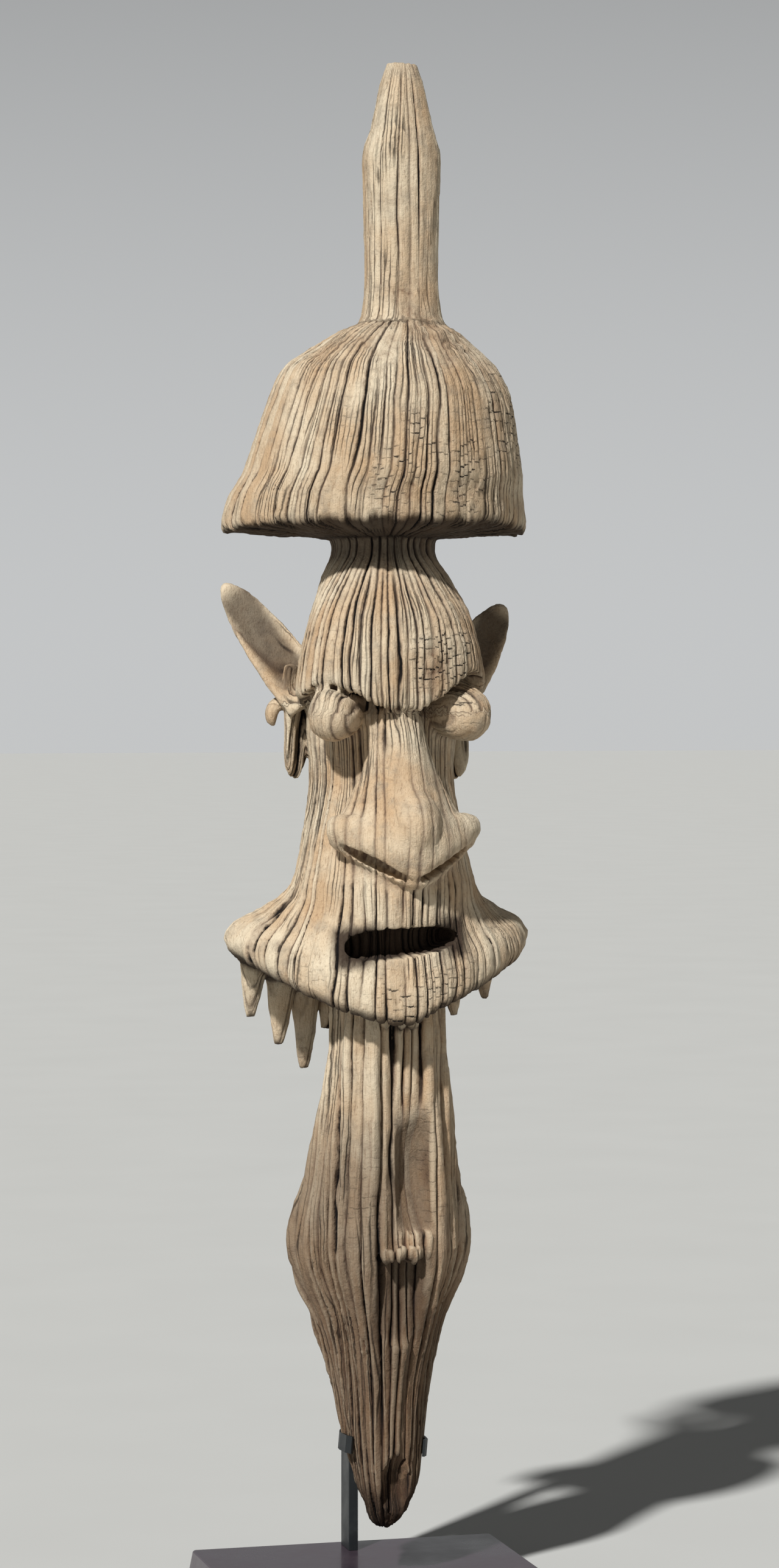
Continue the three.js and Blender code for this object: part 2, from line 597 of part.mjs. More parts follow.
const carvingOnStand = new THREE.Group();

function addPart(name, geometry, material, x = 0, y = 0, z = 0) {
  const mesh = new THREE.Mesh(geometry, material);
  mesh.name = name;
  mesh.position.set(x, y, z);
  carvingOnStand.add(mesh);
  return mesh;
}

addPart('carving', geometryOf(carvingSolid()), materials.wood);
addPart('foot_plate', footGeometry(), materials.foot);
addPart('post', postGeometry(), materials.steel, 0, POST_FRONT_Y + POST_DEPTH / 2, FOOT_HEIGHT + JOINT_GAP);
addPart('lower_cradle', cradleGeometry(), materials.steel, 0, 0, CRADLE_Z).rotation.y = CRADLE_ROLL;
addPart('upper_saddle', saddleGeometry(), materials.steel, 0, 0, SADDLE_Z);

export default carvingOnStand;
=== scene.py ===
"""A weathered wooden face carving, held upright by a dark metal post on a square foot."""

import math

import bpy
import numpy as np
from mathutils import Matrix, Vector


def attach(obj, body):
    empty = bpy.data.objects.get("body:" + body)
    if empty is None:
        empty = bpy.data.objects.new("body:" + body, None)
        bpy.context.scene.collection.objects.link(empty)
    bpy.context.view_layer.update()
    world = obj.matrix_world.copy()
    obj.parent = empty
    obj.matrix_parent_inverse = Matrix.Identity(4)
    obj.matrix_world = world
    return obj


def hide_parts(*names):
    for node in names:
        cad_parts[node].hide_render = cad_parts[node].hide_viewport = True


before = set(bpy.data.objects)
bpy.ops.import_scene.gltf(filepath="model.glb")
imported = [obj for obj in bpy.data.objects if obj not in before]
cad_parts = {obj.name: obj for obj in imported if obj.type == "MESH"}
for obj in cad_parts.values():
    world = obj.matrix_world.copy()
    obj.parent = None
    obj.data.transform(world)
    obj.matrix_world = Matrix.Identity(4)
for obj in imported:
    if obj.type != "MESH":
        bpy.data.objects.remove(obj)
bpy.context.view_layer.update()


# Camera: at the height of the face, about fifteen degrees round to the viewer's left of it, level,
# far enough back for a long lens. The shift puts the object where the photograph's framing has it.
PHOTO_WIDTH = 1279
PHOTO_HEIGHT = 2576
EYE_LEVEL = 1.127
VIEW_DISTANCE = 5.0
VIEW_TURN = math.radians(-15)
FOCAL_PIXELS = 6668
HORIZON_PIXEL = 1123
AXIS_PIXEL = 627.5
SENSOR_MM = 36

camera_data = bpy.data.cameras.new("photo_camera")
camera = bpy.data.objects.new("photo_camera", camera_data)
bpy.context.scene.collection.objects.link(camera)
camera.location = (
    math.sin(VIEW_TURN) * VIEW_DISTANCE,
    -math.cos(VIEW_TURN) * VIEW_DISTANCE,
    EYE_LEVEL,
)
camera.rotation_euler = (math.radians(90), 0, VIEW_TURN)
camera_data.sensor_fit = "VERTICAL"
camera_data.sensor_height = SENSOR_MM
camera_data.lens = FOCAL_PIXELS / PHOTO_HEIGHT * SENSOR_MM
camera_data.shift_x = (PHOTO_WIDTH / 2 - AXIS_PIXEL) / PHOTO_HEIGHT
camera_data.shift_y = -(PHOTO_HEIGHT / 2 - HORIZON_PIXEL) / PHOTO_HEIGHT
camera_data.clip_end = 100
bpy.context.scene.camera = camera


# Carving: one log of dense tropical wood, cut green and then weathered outdoors for decades, so that
# the grain stands up as rounded ribs with dark cracks between them. Its measures are in millimetres.
MM = 0.001
TIP_Z = 87.5
KEEL_Z = 436
JAW_FRONT_Z = 716
MOUTH_Z = 816
NOSE_BASE_Z = 880
EYE_Z = 1087
BROW_Z = 1094
NECK_Z = 1302
SPIRE_BASE_Z = 1574
SPIRE_TOP_Z = 1887


def smooth_at(values, t):
    """Value at row position t of a list: a cubic between neighbouring rows, whose slope at a row is
    the harmonic mean of the steps beside it, and 0 where they differ in sign, so it never overshoots."""
    values = np.asarray(values, float)
    steps = np.diff(values)
    before = np.concatenate([steps[:1], steps])
    after = np.concatenate([steps, steps[-1:]])
    product = before * after
    slope = np.where(product > 0, 2 * product / np.where(product > 0, before + after, 1), 0)
    i = np.clip(np.floor(t).astype(int), 0, len(steps) - 1)
    f = t - i
    rise = steps[i]
    square = (3 * rise - 2 * slope[i] - slope[i + 1]) * f**2
    cube = (slope[i] + slope[i + 1] - 2 * rise) * f**3
    return values[i] + slope[i] * f + square + cube


def section_at(names, rows, t):
    """Measures by name at row position t of a table of sections."""
    return {name: smooth_at([row[k] for row in rows], t) for k, name in enumerate(names)}


def closed_skin(point_at, rows, columns):
    """Closed surface point_at(u, angle) over rows from u = 0 to 1 and columns round a full turn,
    with a fan over its first and its last ring, and its faces turned outwards."""
    u = np.linspace(0, 1, rows)[:, None]
    angle = np.linspace(0, 2 * np.pi, columns, endpoint=False)[None, :]
    rings = np.stack(np.broadcast_arrays(*point_at(u, angle)), axis=-1)
    middles = np.stack([rings[0].mean(axis=0), rings[-1].mean(axis=0)])
    points = np.concatenate([rings.reshape(-1, 3), middles])
    here = np.arange(rows * columns).reshape(rows, columns)
    beside = np.roll(here, -1, axis=1)
    first = np.full(columns, rows * columns)
    parts = [
        np.stack([here[:-1], beside[:-1], beside[1:]], axis=-1),
        np.stack([here[:-1], beside[1:], here[1:]], axis=-1),
        np.stack([beside[0], here[0], first], axis=-1),
        np.stack([here[-1], beside[-1], first + 1], axis=-1),
    ]
    faces = np.concatenate([part.reshape(-1, 3) for part in parts])
    a, b, c = (points[faces[:, k]] for k in range(3))
    if np.einsum("ij,ij->", a, np.cross(b, c)) < 0:
        faces = faces[:, ::-1]
    return points, faces


def signed_power(value, power):
    return np.sign(value) * np.abs(value) ** power


def section_point(s, angle, curve=1.6):
    """Point of a level section: x = side cos, y = front or back sin, each raised to a power that
    squares it under 1 or points it over 1, and z climbs by rise |cos|^curve towards the sides."""
    c = np.cos(angle)
    n = np.sin(angle)
    x = s["x"] + s["side"] * signed_power(c, np.minimum(s["point"], 1))
    y = s["y"] + np.where(n < 0, s["front"], s["back"]) * signed_power(n, s["point"])
    return x, y, s["z"] + s["rise"] * np.abs(c) ** curve


def loft(names, sections, rows, columns, shape=section_point):
    """Closed skin through a table of sections, each drawn by shape(section, angle)."""
    last = len(sections) - 1
    return closed_skin(lambda u, angle: shape(section_at(names, sections, u * last), angle), rows, columns)


# Cap with its nearly flat underside, its rim that flares to a worn point at each side, its dome and
# its spire.
SECTION_NAMES = ("z", "x", "y", "side", "front", "back", "point", "rise")
CAP_SECTIONS = (
    (NECK_Z, 0, 0, 52, 48, 48, 1, 0),
    (1309, 0, 14, 110, 96, 84, 1, 0),
    (1317, 0, 34, 172, 154, 114, 1.05, -2),
    (1322, 0, 38, 190, 170, 125, 1.15, -8),
    (1334, 0, 37, 193, 175, 128, 1.15, -8),
    (1358, 0, 30, 186, 170, 132, 1.08, -3),
    (1386, 5, 17, 175, 163, 136, 1, 0),
    (1428, 7, 9, 164, 154, 137, 1, 0),
    (1484, 10, 1, 148, 138, 125, 1, 0),
    (1516, 9, -3, 131, 120, 108, 1, 0),
    (1538, 12, -7, 105, 96, 86, 0.97, 0),
    (1558, 16, -15, 78, 70, 64, 0.95, 0),
    (SPIRE_BASE_Z, 18, -22, 51, 45, 42, 0.85, 0),
    (1640, 18, -23, 45, 38, 37, 0.8, 0),
    (1768, 18, -24, 48, 39, 38, 0.8, 0),
    (1806, 18, -27, 39, 34, 33, 0.85, 0),
    (1866, 18, -27, 26, 23, 22, 0.9, 0),
    (SPIRE_TOP_Z, 18, -27, 19, 16, 15, 1, 0),
)
CAP_TIP_CURVE = 7


def cap_point(s, angle):
    """Section point whose rim hangs down only close to its two side points."""
    return section_point(s, angle, CAP_TIP_CURVE)


# Head: a bell that widens down to the brow, whose lower edge is two arches over the eyes, the
# viewer's left one lower than the right one, with a lobe hanging between them.
HEAD_NAMES = ("z", "x", "y", "side", "front", "back", "point", "rise", "edge")
HEAD_SECTIONS = (
    (BROW_Z + 14, 0, -34, 78, 48, 84, 1, 0, 1),
    (BROW_Z, 0, -38, 112, 80, 104, 1, 0, 1),
    (BROW_Z + 9, 0, -39, 117, 88, 108, 1, 0, 0.95),
    (BROW_Z + 60, 0, -39, 111, 88, 104, 1, 0, 0.35),
    (1200, 0, -38, 101, 82, 102, 1, 0, 0),
    (1257, 0, -17, 79, 67, 76, 1, 0, 0),
    (1290, 0, -4, 64, 58, 62, 1, 0, 0),
    (NECK_Z + 14, 0, -2, 64, 58, 62, 1, 0, 0),
)
BROW_ARCH_LEFT = 32
BROW_ARCH_RIGHT = 46
BROW_ARCH_SPAN = 1.2
BROW_ARCH_CURVE = 2.2


def head_point(s, angle):
    """Section point raised at the brow's edge by arch sin(pi |cos|^2.2 / 1.2), one arch to a side."""
    x, y, z = section_point(s, angle)
    c = np.cos(angle)
    arch = np.where(c < 0, BROW_ARCH_LEFT, BROW_ARCH_RIGHT)
    front = np.sin(np.pi * np.abs(c) ** BROW_ARCH_CURVE / BROW_ARCH_SPAN)
    behind = math.sin(math.pi / BROW_ARCH_SPAN) * np.abs(c)
    return x, y, z + s["edge"] * arch * np.where(np.sin(angle) < 0, front, behind)


# Face column and flared jaw: the rings climb from the chin towards the jaw's two pointed tips.
JAW_TIP_RISE = 88
JAW_RIM_CURVE_LEFT = 1.75
JAW_RIM_CURVE_RIGHT = 1
FACE_SECTIONS = (
    (JAW_FRONT_Z + 26, 0, 10, 80, 84, 50, 1.1, 24),
    (JAW_FRONT_Z + 4, 0, 24, 160, 142, 72, 1.4, 64),
    (JAW_FRONT_Z, 0, 27, 187, 156, 80, 1.45, JAW_TIP_RISE - 8),
    (JAW_FRONT_Z + 14, 0, 27, 195, 167, 82, 1.4, JAW_TIP_RISE - 2),
    (JAW_FRONT_Z + 32, 0, 27, 186, 167, 82, 1.3, JAW_TIP_RISE - 4),
    (788, 0, 22, 148, 154, 80, 1.15, 64),
    (832, 0, 14, 122, 142, 78, 1.05, 38),
    (884, 0, -2, 110, 124, 84, 1, 8),
    (946, 0, 1, 98, 105, 84, 0.95, 0),
    (1013, 0, 8, 88, 84, 80, 0.9, 0),
    (1080, 0, 6, 92, 80, 78, 0.9, 0),
    (1190, 0, -6, 84, 60, 66, 1, 0),
)


def face_point(s, angle):
    """Section point whose climb towards the tips starts later on the viewer's left."""
    return section_point(s, angle, np.where(np.cos(angle) < 0, JAW_RIM_CURVE_LEFT, JAW_RIM_CURVE_RIGHT))


# Shaft: deep flutes run down it, and its two side corners are widest at the keel.
FLUTE_COUNT = 12
SHAFT_NAMES = ("z", "x", "y", "side", "front", "back", "point", "rise", "flute")
SHAFT_SECTIONS = (
    (TIP_Z, 2, -4, 7, 7, 7, 1, 0, 0),
    (96, 3, -5, 18, 19, 19, 1, 0, 0.5),
    (134, 4, -8, 35, 38, 36, 1, 0, 2),
    (190, 1, -4, 47, 46, 46, 1, 0, 2.5),
    (263, 0, 10, 60, 66, 52, 1.1, 0, 3),
    (340, 0, 28, 80, 104, 50, 1.3, 0, 4),
    (KEEL_Z, 0, 20, 114, 120, 62, 1.4, 0, 4.5),
    (526, 0, 4, 95, 102, 66, 1.15, 0, 4.5),
    (606, 0, -12, 80, 82, 66, 1, 0, 4),
    (694, 0, -25, 69, 65, 66, 0.95, 0, 3.5),
    (752, 0, -22, 68, 60, 64, 0.95, 0, 3),
)


def shaft_point(s, angle):
    """Section point drawn in by flute (1 - cos(12 angle)) / 2 towards the section's middle."""
    x, y, z = section_point(s, angle)
    reach = np.hypot(x - s["x"], y - s["y"])
    keep = 1 - s["flute"] * (0.5 - 0.5 * np.cos(FLUTE_COUNT * angle)) / reach
    return s["x"] + (x - s["x"]) * keep, s["y"] + (y - s["y"]) * keep, z


def unit(vector):
    vector = np.asarray(vector, float)
    return vector / np.linalg.norm(vector)


def round_end(u, power):
    """Half width of a bar that closes at u = 1, more squarely where power is high."""
    return np.sqrt(np.maximum(1 - u**power, 0))


def carried(path_at, across, along, half_at, rows, columns):
    """Closed skin of rings carried along path_at(u), with half sizes half_at(u, angle) in the
    directions across and along."""

    def surface(u, angle):
        wide, deep = half_at(u, angle)
        wide = wide * np.cos(angle)
        deep = deep * np.sin(angle)
        return [path_at(u)[k] + wide * across[k] + deep * along[k] for k in range(3)]

    return closed_skin(surface, rows, columns)


def straight(start, end):
    """Path from one point to another."""
    return lambda u: [start[k] + (end[k] - start[k]) * u for k in range(3)]


# Ear: a leaf that leans outwards and back, hollow on its front face, with a rounded rim.
EAR_ROOT = (86, 12, 1104)
EAR_TIP = (182, 84)
EAR_TIP_Z = {-1: 1252, 1: 1226}


def leaf(root, tip, facing, width_at, thick_at, hollow_at):
    """Leaf from root to tip, hollow on the face that looks along facing: across it, at k from -1 to
    1, the hollow is (1 - |k|^3)^1.5 of hollow_at(s)."""
    root = np.asarray(root, float)
    tip = np.asarray(tip, float)
    length = unit(tip - root)
    facing = unit(facing - length * np.dot(facing, length))
    across = np.cross(length, facing)

    def surface(u, angle):
        s = 0.004 + 0.992 * u
        k = np.cos(angle)
        n = np.sin(angle)
        dish = np.where(n > 0, hollow_at(s) * (1 - np.abs(k) ** 3) ** 1.5, 0)
        wide = width_at(s) * k
        deep = thick_at(s) * n - dish
        return [root[i] + (tip - root)[i] * s + wide * across[i] + deep * facing[i] for i in range(3)]

    return closed_skin(surface, 60, 72)


def ear(side):
    """Ear leaf, widest below its middle and narrower towards its round tip."""
    return leaf(
        (side * EAR_ROOT[0], EAR_ROOT[1], EAR_ROOT[2]),
        (side * EAR_TIP[0], EAR_TIP[1], EAR_TIP_Z[side]),
        (side * 0.1, -1, 0.35),
        lambda s: 34 * (0.95 + 0.3 * s - 0.5 * s**2) * round_end(s, 3.6),
        lambda s: (15 - 3 * s) * round_end(s, 6),
        lambda s: 15 * np.sin(np.pi * np.minimum(0.08 + s * 0.98, 1)) ** 0.5,
    )


# Lobe: the thin hollow flap that hangs beside the cheek below each ear, and the curl outside it.
LOBE = {"x": 103, "y": 34, "top": 1150, "bottom": 1008}
CURL = {"x": 115, "y": 40, "z": 1087, "bend": 16, "radius": 9}


def lobe(side):
    """Flap that hangs straight down, its hollow face turned forwards and in, with a ragged end."""
    return leaf(
        (side * (LOBE["x"] - 6), LOBE["y"] - 4, LOBE["top"]),
        (side * LOBE["x"], LOBE["y"], LOBE["bottom"]),
        (-side * 0.5, -0.85, 0),
        lambda s: (23 - 6 * s + 1.5 * np.sin(9 * s)) * round_end(s, 9),
        lambda s: (14 - 5 * s) * round_end(s, 9),
        lambda s: 8 * np.sin(np.pi * np.minimum(0.3 + 0.62 * s, 1)),
    )


def curl(side):
    """Hook outside the lobe: rings of radius 9 round an arc of radius 16, from the ear's root out
    and down."""

    def surface(u, angle):
        turn = np.radians(160 - 205 * u)
        size = CURL["radius"] * (1.15 - 0.3 * u) * round_end(0.98 * u, 5)
        reach = CURL["bend"] + size * np.cos(angle)
        x = side * (CURL["x"] + reach * np.cos(turn))
        return x, CURL["y"] + 1.3 * size * np.sin(angle), CURL["z"] + reach * np.sin(turn)

    return closed_skin(surface, 40, 32)


# Eye: an egg-shaped knob that stands out from the face, forwards and to its side.
EYE = {"root_x": 48, "root_y": -34, "x": 84, "y": -84, "radius": 34, "reach": 30}


def eye(side):
    """Knob along a line outwards: radius 34 (0.72 + 0.5 s), closed round at its end."""
    root = np.array([side * EYE["root_x"], EYE["root_y"], EYE_Z + 12])
    middle = np.array([side * EYE["x"], EYE["y"], EYE_Z])
    outwards = unit(middle - root)
    end = middle + outwards * EYE["reach"]
    across = unit(np.cross(outwards, (0, 0, 1)))
    along = np.cross(outwards, across)

    def half(u, angle):
        s = 0.99 * u
        radius = EYE["radius"] * (0.72 + 0.5 * s) * round_end(s, 3.2)
        return radius, radius * np.where(np.sin(angle) < 0, 1.15, 1)

    return carried(straight(root, root + (end - root) * 0.99), across, along, half, 40, 64)


# Brow gap: the dark undercut between each eye knob and the brow's edge that hangs over it.
BROW_GAP = {"inner": 0.3, "outer": 0.97, "half_tall": 5, "half_deep": 21, "inwards": 10}


def brow_gap(side):
    """Slot that follows the arch over an eye, a little under the brow's edge."""
    edge = dict(zip(HEAD_NAMES, HEAD_SECTIONS[2]))
    arch = BROW_ARCH_LEFT if side < 0 else BROW_ARCH_RIGHT

    def path(u):
        c = BROW_GAP["inner"] + (BROW_GAP["outer"] - BROW_GAP["inner"]) * u
        climb = np.sin(np.pi * c**BROW_ARCH_CURVE / BROW_ARCH_SPAN)
        y = edge["y"] - edge["front"] * np.sqrt(1 - c**2) + BROW_GAP["inwards"]
        return side * edge["side"] * c, y, BROW_Z - 3 + arch * climb

    def half(u, angle):
        gape = np.sin(np.pi * (0.05 + 0.9 * u)) ** 0.5
        return BROW_GAP["half_tall"] * gape, BROW_GAP["half_deep"] * gape

    return carried(path, (0, 0, 1), unit((side * 0.5, -0.85, 0)), half, 48, 32)


# Nose: a ridge that widens down to an egg-shaped end, over a V-shaped base that runs out to the wings.
NOSE_SECTIONS = (
    (NOSE_BASE_Z, 6, -90, 12, 52, 40, 1, 0),
    (NOSE_BASE_Z + 9, 5, -90, 32, 60, 45, 1, 0),
    (NOSE_BASE_Z + 24, 3, -92, 55, 64, 50, 1.1, 0),
    (NOSE_BASE_Z + 42, 1, -94, 78, 66, 55, 1.3, 0),
    (NOSE_BASE_Z + 56, 0, -94, 92, 64, 60, 1.5, 0),
    (952, 0, -88, 86, 66, 50, 1.4, 0),
    (985, 1, -70, 64, 72, 30, 1.15, 0),
    (1030, 0, -60, 44, 68, 20, 1, 0),
    (1100, -2, -50, 30, 62, 20, 1, 0),
)
BULB = {"x": 4, "y": -124, "z": 954, "half_width": 35, "half_depth": 44, "half_tall": 48}
WING = {"root": (40, -116, 950), "tip": (94, -94, 952), "radius": 16}
NOSTRIL = {"inner": (4, -156, 889), "outer": (86, -110, 932), "half_tall": 8.5, "half_deep": 32}


def ball(x, y, z, half_width, half_depth, half_tall, rows=40, columns=56):
    """Egg with its own half size along each axis."""

    def surface(u, angle):
        lift = np.pi * (0.01 + 0.98 * u)
        round_ = np.sin(lift)
        return (
            x + half_width * round_ * np.cos(angle),
            y + half_depth * round_ * np.sin(angle),
            z - half_tall * np.cos(lift) + 0 * angle,
        )

    return closed_skin(surface, rows, columns)


def nose_wing(side):
    """Tapering bar from the bulb out to the cheek, with a blunt end."""
    root, tip = ([side * p[0], p[1], p[2]] for p in (WING["root"], WING["tip"]))

    def half(u, angle):
        radius = WING["radius"] * (1.4 - 0.4 * u) * round_end(0.97 * u, 12)
        return radius, 0.9 * radius

    return carried(straight(root, tip), (0, 0, 1), (side * 0.3, -0.95, 0), half, 32, 40)


def nostril(side):
    """Long slot under a wing, above the thin edge of the nose's base."""
    inner, outer = ([side * p[0], p[1], p[2]] for p in (NOSTRIL["inner"], NOSTRIL["outer"]))

    def half(u, angle):
        gape = np.sin(np.pi * (0.06 + 0.88 * u)) ** 0.6
        return NOSTRIL["half_tall"] * gape, NOSTRIL["half_deep"] * gape

    return carried(straight(inner, outer), (0, 0, 1), (side * 0.55, -0.83, 0), half, 32, 32)


# Mouth: a wide slot, open towards the front and deep, a little higher at the viewer's right.
MOUTH = {"x": -6, "half_width": 71, "half_tall": 17, "front": -190, "back_middle": -84, "back_corner": -58, "tilt": 0.1}


def mouth():
    """Slot whose height falls off as (1 - k^4)^0.7 towards its corners at k = -1 and 1."""

    def surface(u, angle):
        k = 0.985 * (2 * u - 1)
        x = MOUTH["x"] + MOUTH["half_width"] * k
        back = MOUTH["back_middle"] + (MOUTH["back_corner"] - MOUTH["back_middle"]) * k**2
        tall = MOUTH["half_tall"] * (1 - 0.15 * k) * (1 - k**4) ** 0.7 + 1
        depth = (back - MOUTH["front"]) / 2
        y = MOUTH["front"] + depth + depth * signed_power(np.sin(angle), 0.5)
        z = MOUTH_Z + MOUTH["tilt"] * x + tall * signed_power(np.cos(angle), 0.5)
        return x, y, z

    return closed_skin(surface, 60, 48)


# Teeth: spikes that hang in a row from the jaw's underside behind, the outer ones shorter, and a
# stump where one broke off.
TOOTH_ROOT_Z = 800
STUMP_X = -45
TEETH = (
    (-151, 66, 714, 20),
    (-111, 82, 678, 21),
    (-77, 90, 647, 22),
    (STUMP_X, 90, 697, 18),
    (78, 90, 650, 22),
    (115, 82, 709, 19),
    (151, 66, 731, 16),
)


def tooth(x, y, tip_z, half_width):
    """Spike whose half width falls off as u^1.6 from its root to its blunt tip."""
    blunt = 0.55 if x == STUMP_X else 0.28

    def half(u, angle):
        size = half_width * (1 - (1 - blunt) * u**1.6)
        return size, 0.8 * size

    return carried(straight((0.97 * x, y - 6, TOOTH_ROOT_Z), (x, y, tip_z)), (1, 0, 0), (0, 1, 0), half, 40, 32)


# Hollows in the front of the shaft: a shallow channel, a spoon-cut pocket to its right, the notch
# under the splintered ledge, and the rotten hollow near the tip.
CHANNEL = {"x": 2, "half_width": 37, "top": 712, "bottom": 442, "floor": 20}
POCKET = {"x": 17, "half_width": 24, "top": 612, "bottom": 462, "floor": 40}
NOTCH = {"x": 2, "half_width": 35, "top": 430, "bottom": 322, "floor": 34}
ROT = {"x": 6, "y": -50, "z": 142, "half_width": 20, "half_depth": 24, "half_tall": 44}


def shaft_front(z):
    """Y of the shaft's front face at a height."""
    heights = [row[0] for row in SHAFT_SECTIONS]
    s = section_at(SHAFT_NAMES, SHAFT_SECTIONS, np.interp(z, heights, range(len(heights))))
    return s["y"] - s["front"]


def front_cut(place, depth_at):
    """Cutter along a stretch of the shaft's front, depth_at(u) deep below the front face."""

    def surface(u, angle):
        z = place["top"] + (place["bottom"] - place["top"]) * u
        c = np.cos(angle)
        n = np.sin(angle)
        inside = depth_at(u) * np.abs(n) ** 0.7
        outside = -40 * np.minimum(np.abs(n) * 3, 1)
        y = shaft_front(z) + np.where(n > 0, inside, outside)
        return place["x"] + place["half_width"] * signed_power(c, 0.8), y, z

    return closed_skin(surface, 60, 48)


def channel_depth(u):
    return CHANNEL["floor"] * (0.35 + 0.65 * np.sin(np.pi * np.minimum(0.1 + 0.75 * u, 1)))


def pocket_depth(u):
    return POCKET["floor"] * np.sin(np.pi * (0.05 + 0.85 * u)) ** 0.7


def notch_depth(u):
    return NOTCH["floor"] * (1 - 0.9 * u**1.5)


added = [
    loft(SECTION_NAMES, CAP_SECTIONS, 150, 240, cap_point),
    loft(HEAD_NAMES, HEAD_SECTIONS, 90, 180, head_point),
    loft(SECTION_NAMES, FACE_SECTIONS, 110, 220, face_point),
    loft(SHAFT_NAMES, SHAFT_SECTIONS, 150, 240, shaft_point),
    loft(SECTION_NAMES, NOSE_SECTIONS, 60, 80),
    ball(*BULB.values()),
    *(tooth(*spec) for spec in TEETH),
]
cuts = [
    mouth(),
    front_cut(CHANNEL, channel_depth),
    front_cut(POCKET, pocket_depth),
    front_cut(NOTCH, notch_depth),
    ball(*ROT.values()),
]
for side in (-1, 1):
    added += [ear(side), lobe(side), curl(side), eye(side), nose_wing(side)]
    cuts += [nostril(side), brow_gap(side)]

# The skins are joined and cut on a voxel grid that is squashed along the grain, so its cells, and
# later the triangles, are fine across the ribs and long down them.
GRAIN_STRETCH = 3
VOXEL = 1.4 * MM


def joined(name, skins):
    """One object of several skins, squashed along the grain, that a voxel grid makes one body."""
    starts = np.cumsum([0] + [len(points) for points, _ in skins])
    points = np.concatenate([points for points, _ in skins]) * MM
    points[:, 2] /= GRAIN_STRETCH
    faces = np.concatenate([faces + start for (_, faces), start in zip(skins, starts)])
    mesh = bpy.data.meshes.new(name)
    mesh.from_pydata(points, [], faces)
    made = bpy.data.objects.new(name, mesh)
    bpy.context.scene.collection.objects.link(made)
    voxels = made.modifiers.new("one body", "REMESH")
    voxels.mode = "VOXEL"
    voxels.voxel_size = VOXEL
    return made


def applied(made):
    """The object's mesh with its modifiers worked in, and the object without them."""
    graph = bpy.context.evaluated_depsgraph_get()
    mesh = bpy.data.meshes.new_from_object(made.evaluated_get(graph))
    made.modifiers.clear()
    made.data = mesh
    return mesh


carving = joined("carving_wood", added)
cutter = joined("carving_cutter", cuts)
cut = carving.modifiers.new("hollows", "BOOLEAN")
cut.object = cutter
cut.operation = "DIFFERENCE"
cut.solver = "MANIFOLD"
even = carving.modifiers.new("even grid", "REMESH")
even.mode = "VOXEL"
even.voxel_size = VOXEL
wood_mesh = applied(carving)
bpy.data.objects.remove(cutter)


def read_points(mesh):
    points = np.empty(len(mesh.vertices) * 3)
    mesh.vertices.foreach_get("co", points)
    return points.reshape(-1, 3)


def write_points(mesh, points):
    mesh.vertices.foreach_set("co", points.ravel())
    mesh.update()


def softened(mesh, points, rounds):
    """Points moved halfway to the mean of their neighbours, a number of rounds."""
    edges = np.empty(len(mesh.edges) * 2, np.int32)
    mesh.edges.foreach_get("vertices", edges)
    a, b = edges.reshape(-1, 2).T
    degree = np.bincount(edges, minlength=len(points))[:, None]
    for _ in range(rounds):
        total = np.stack(
            [
                np.bincount(a, points[b, k], len(points)) + np.bincount(b, points[a, k], len(points))
                for k in range(3)
            ],
            axis=-1,
        )
        points = 0.5 * points + 0.5 * total / degree
    return points


def hashed(x, y, z, seed):
    """A fixed number from 0 to 1 for each whole-number place, by multiplying and folding its bits."""
    h = (x * 374761393 + y * 668265263 + z * 1274126177 + seed * 974711).astype(np.uint64)
    h &= 0xFFFFFFFF
    h = ((h ^ (h >> np.uint64(13))) * np.uint64(1103515245)) & np.uint64(0xFFFFFFFF)
    h = ((h ^ (h >> np.uint64(16))) * np.uint64(2654435761)) & np.uint64(0xFFFFFFFF)
    return (h ^ (h >> np.uint64(15))).astype(float) / 0xFFFFFFFF


def noise(places, sizes, seed):
    """Smooth noise from -1 to 1: hashed values at the corners of cells of the given sizes in
    millimetres, blended by 3 f^2 - 2 f^3 along each axis."""
    scaled = places / np.asarray(sizes, float)
    cell = np.floor(scaled).astype(np.int64)
    f = scaled - cell
    f = f * f * (3 - 2 * f)
    total = np.zeros(len(places))
    for corner in range(8):
        step = np.array([corner & 1, corner >> 1 & 1, corner >> 2 & 1])
        weight = np.prod(np.where(step == 1, f, 1 - f), axis=1)
        total += weight * hashed(*(cell + step).T, seed)
    return 2 * total - 1


def layered(places, sizes, seed, layers=3):
    """Sum of noises, each half as large in size and strength as the one before."""
    sizes = np.asarray(sizes, float)
    return sum(noise(places, sizes / 2**k, seed + k) / 2**k for k in range(layers))


def step_between(low, high, value):
    """Smooth step from 0 at low to 1 at high, or down again where low is over high."""
    f = np.clip((value - low) / (high - low), 0, 1)
    return f * f * (3 - 2 * f)


def table_value(sections, name, z):
    """A measure of a table at a height, straight between its rows."""
    k = SECTION_NAMES.index(name)
    rows = sorted((row[0], row[k]) for row in sections)
    return np.interp(z, [row[0] for row in rows], [row[1] for row in rows])


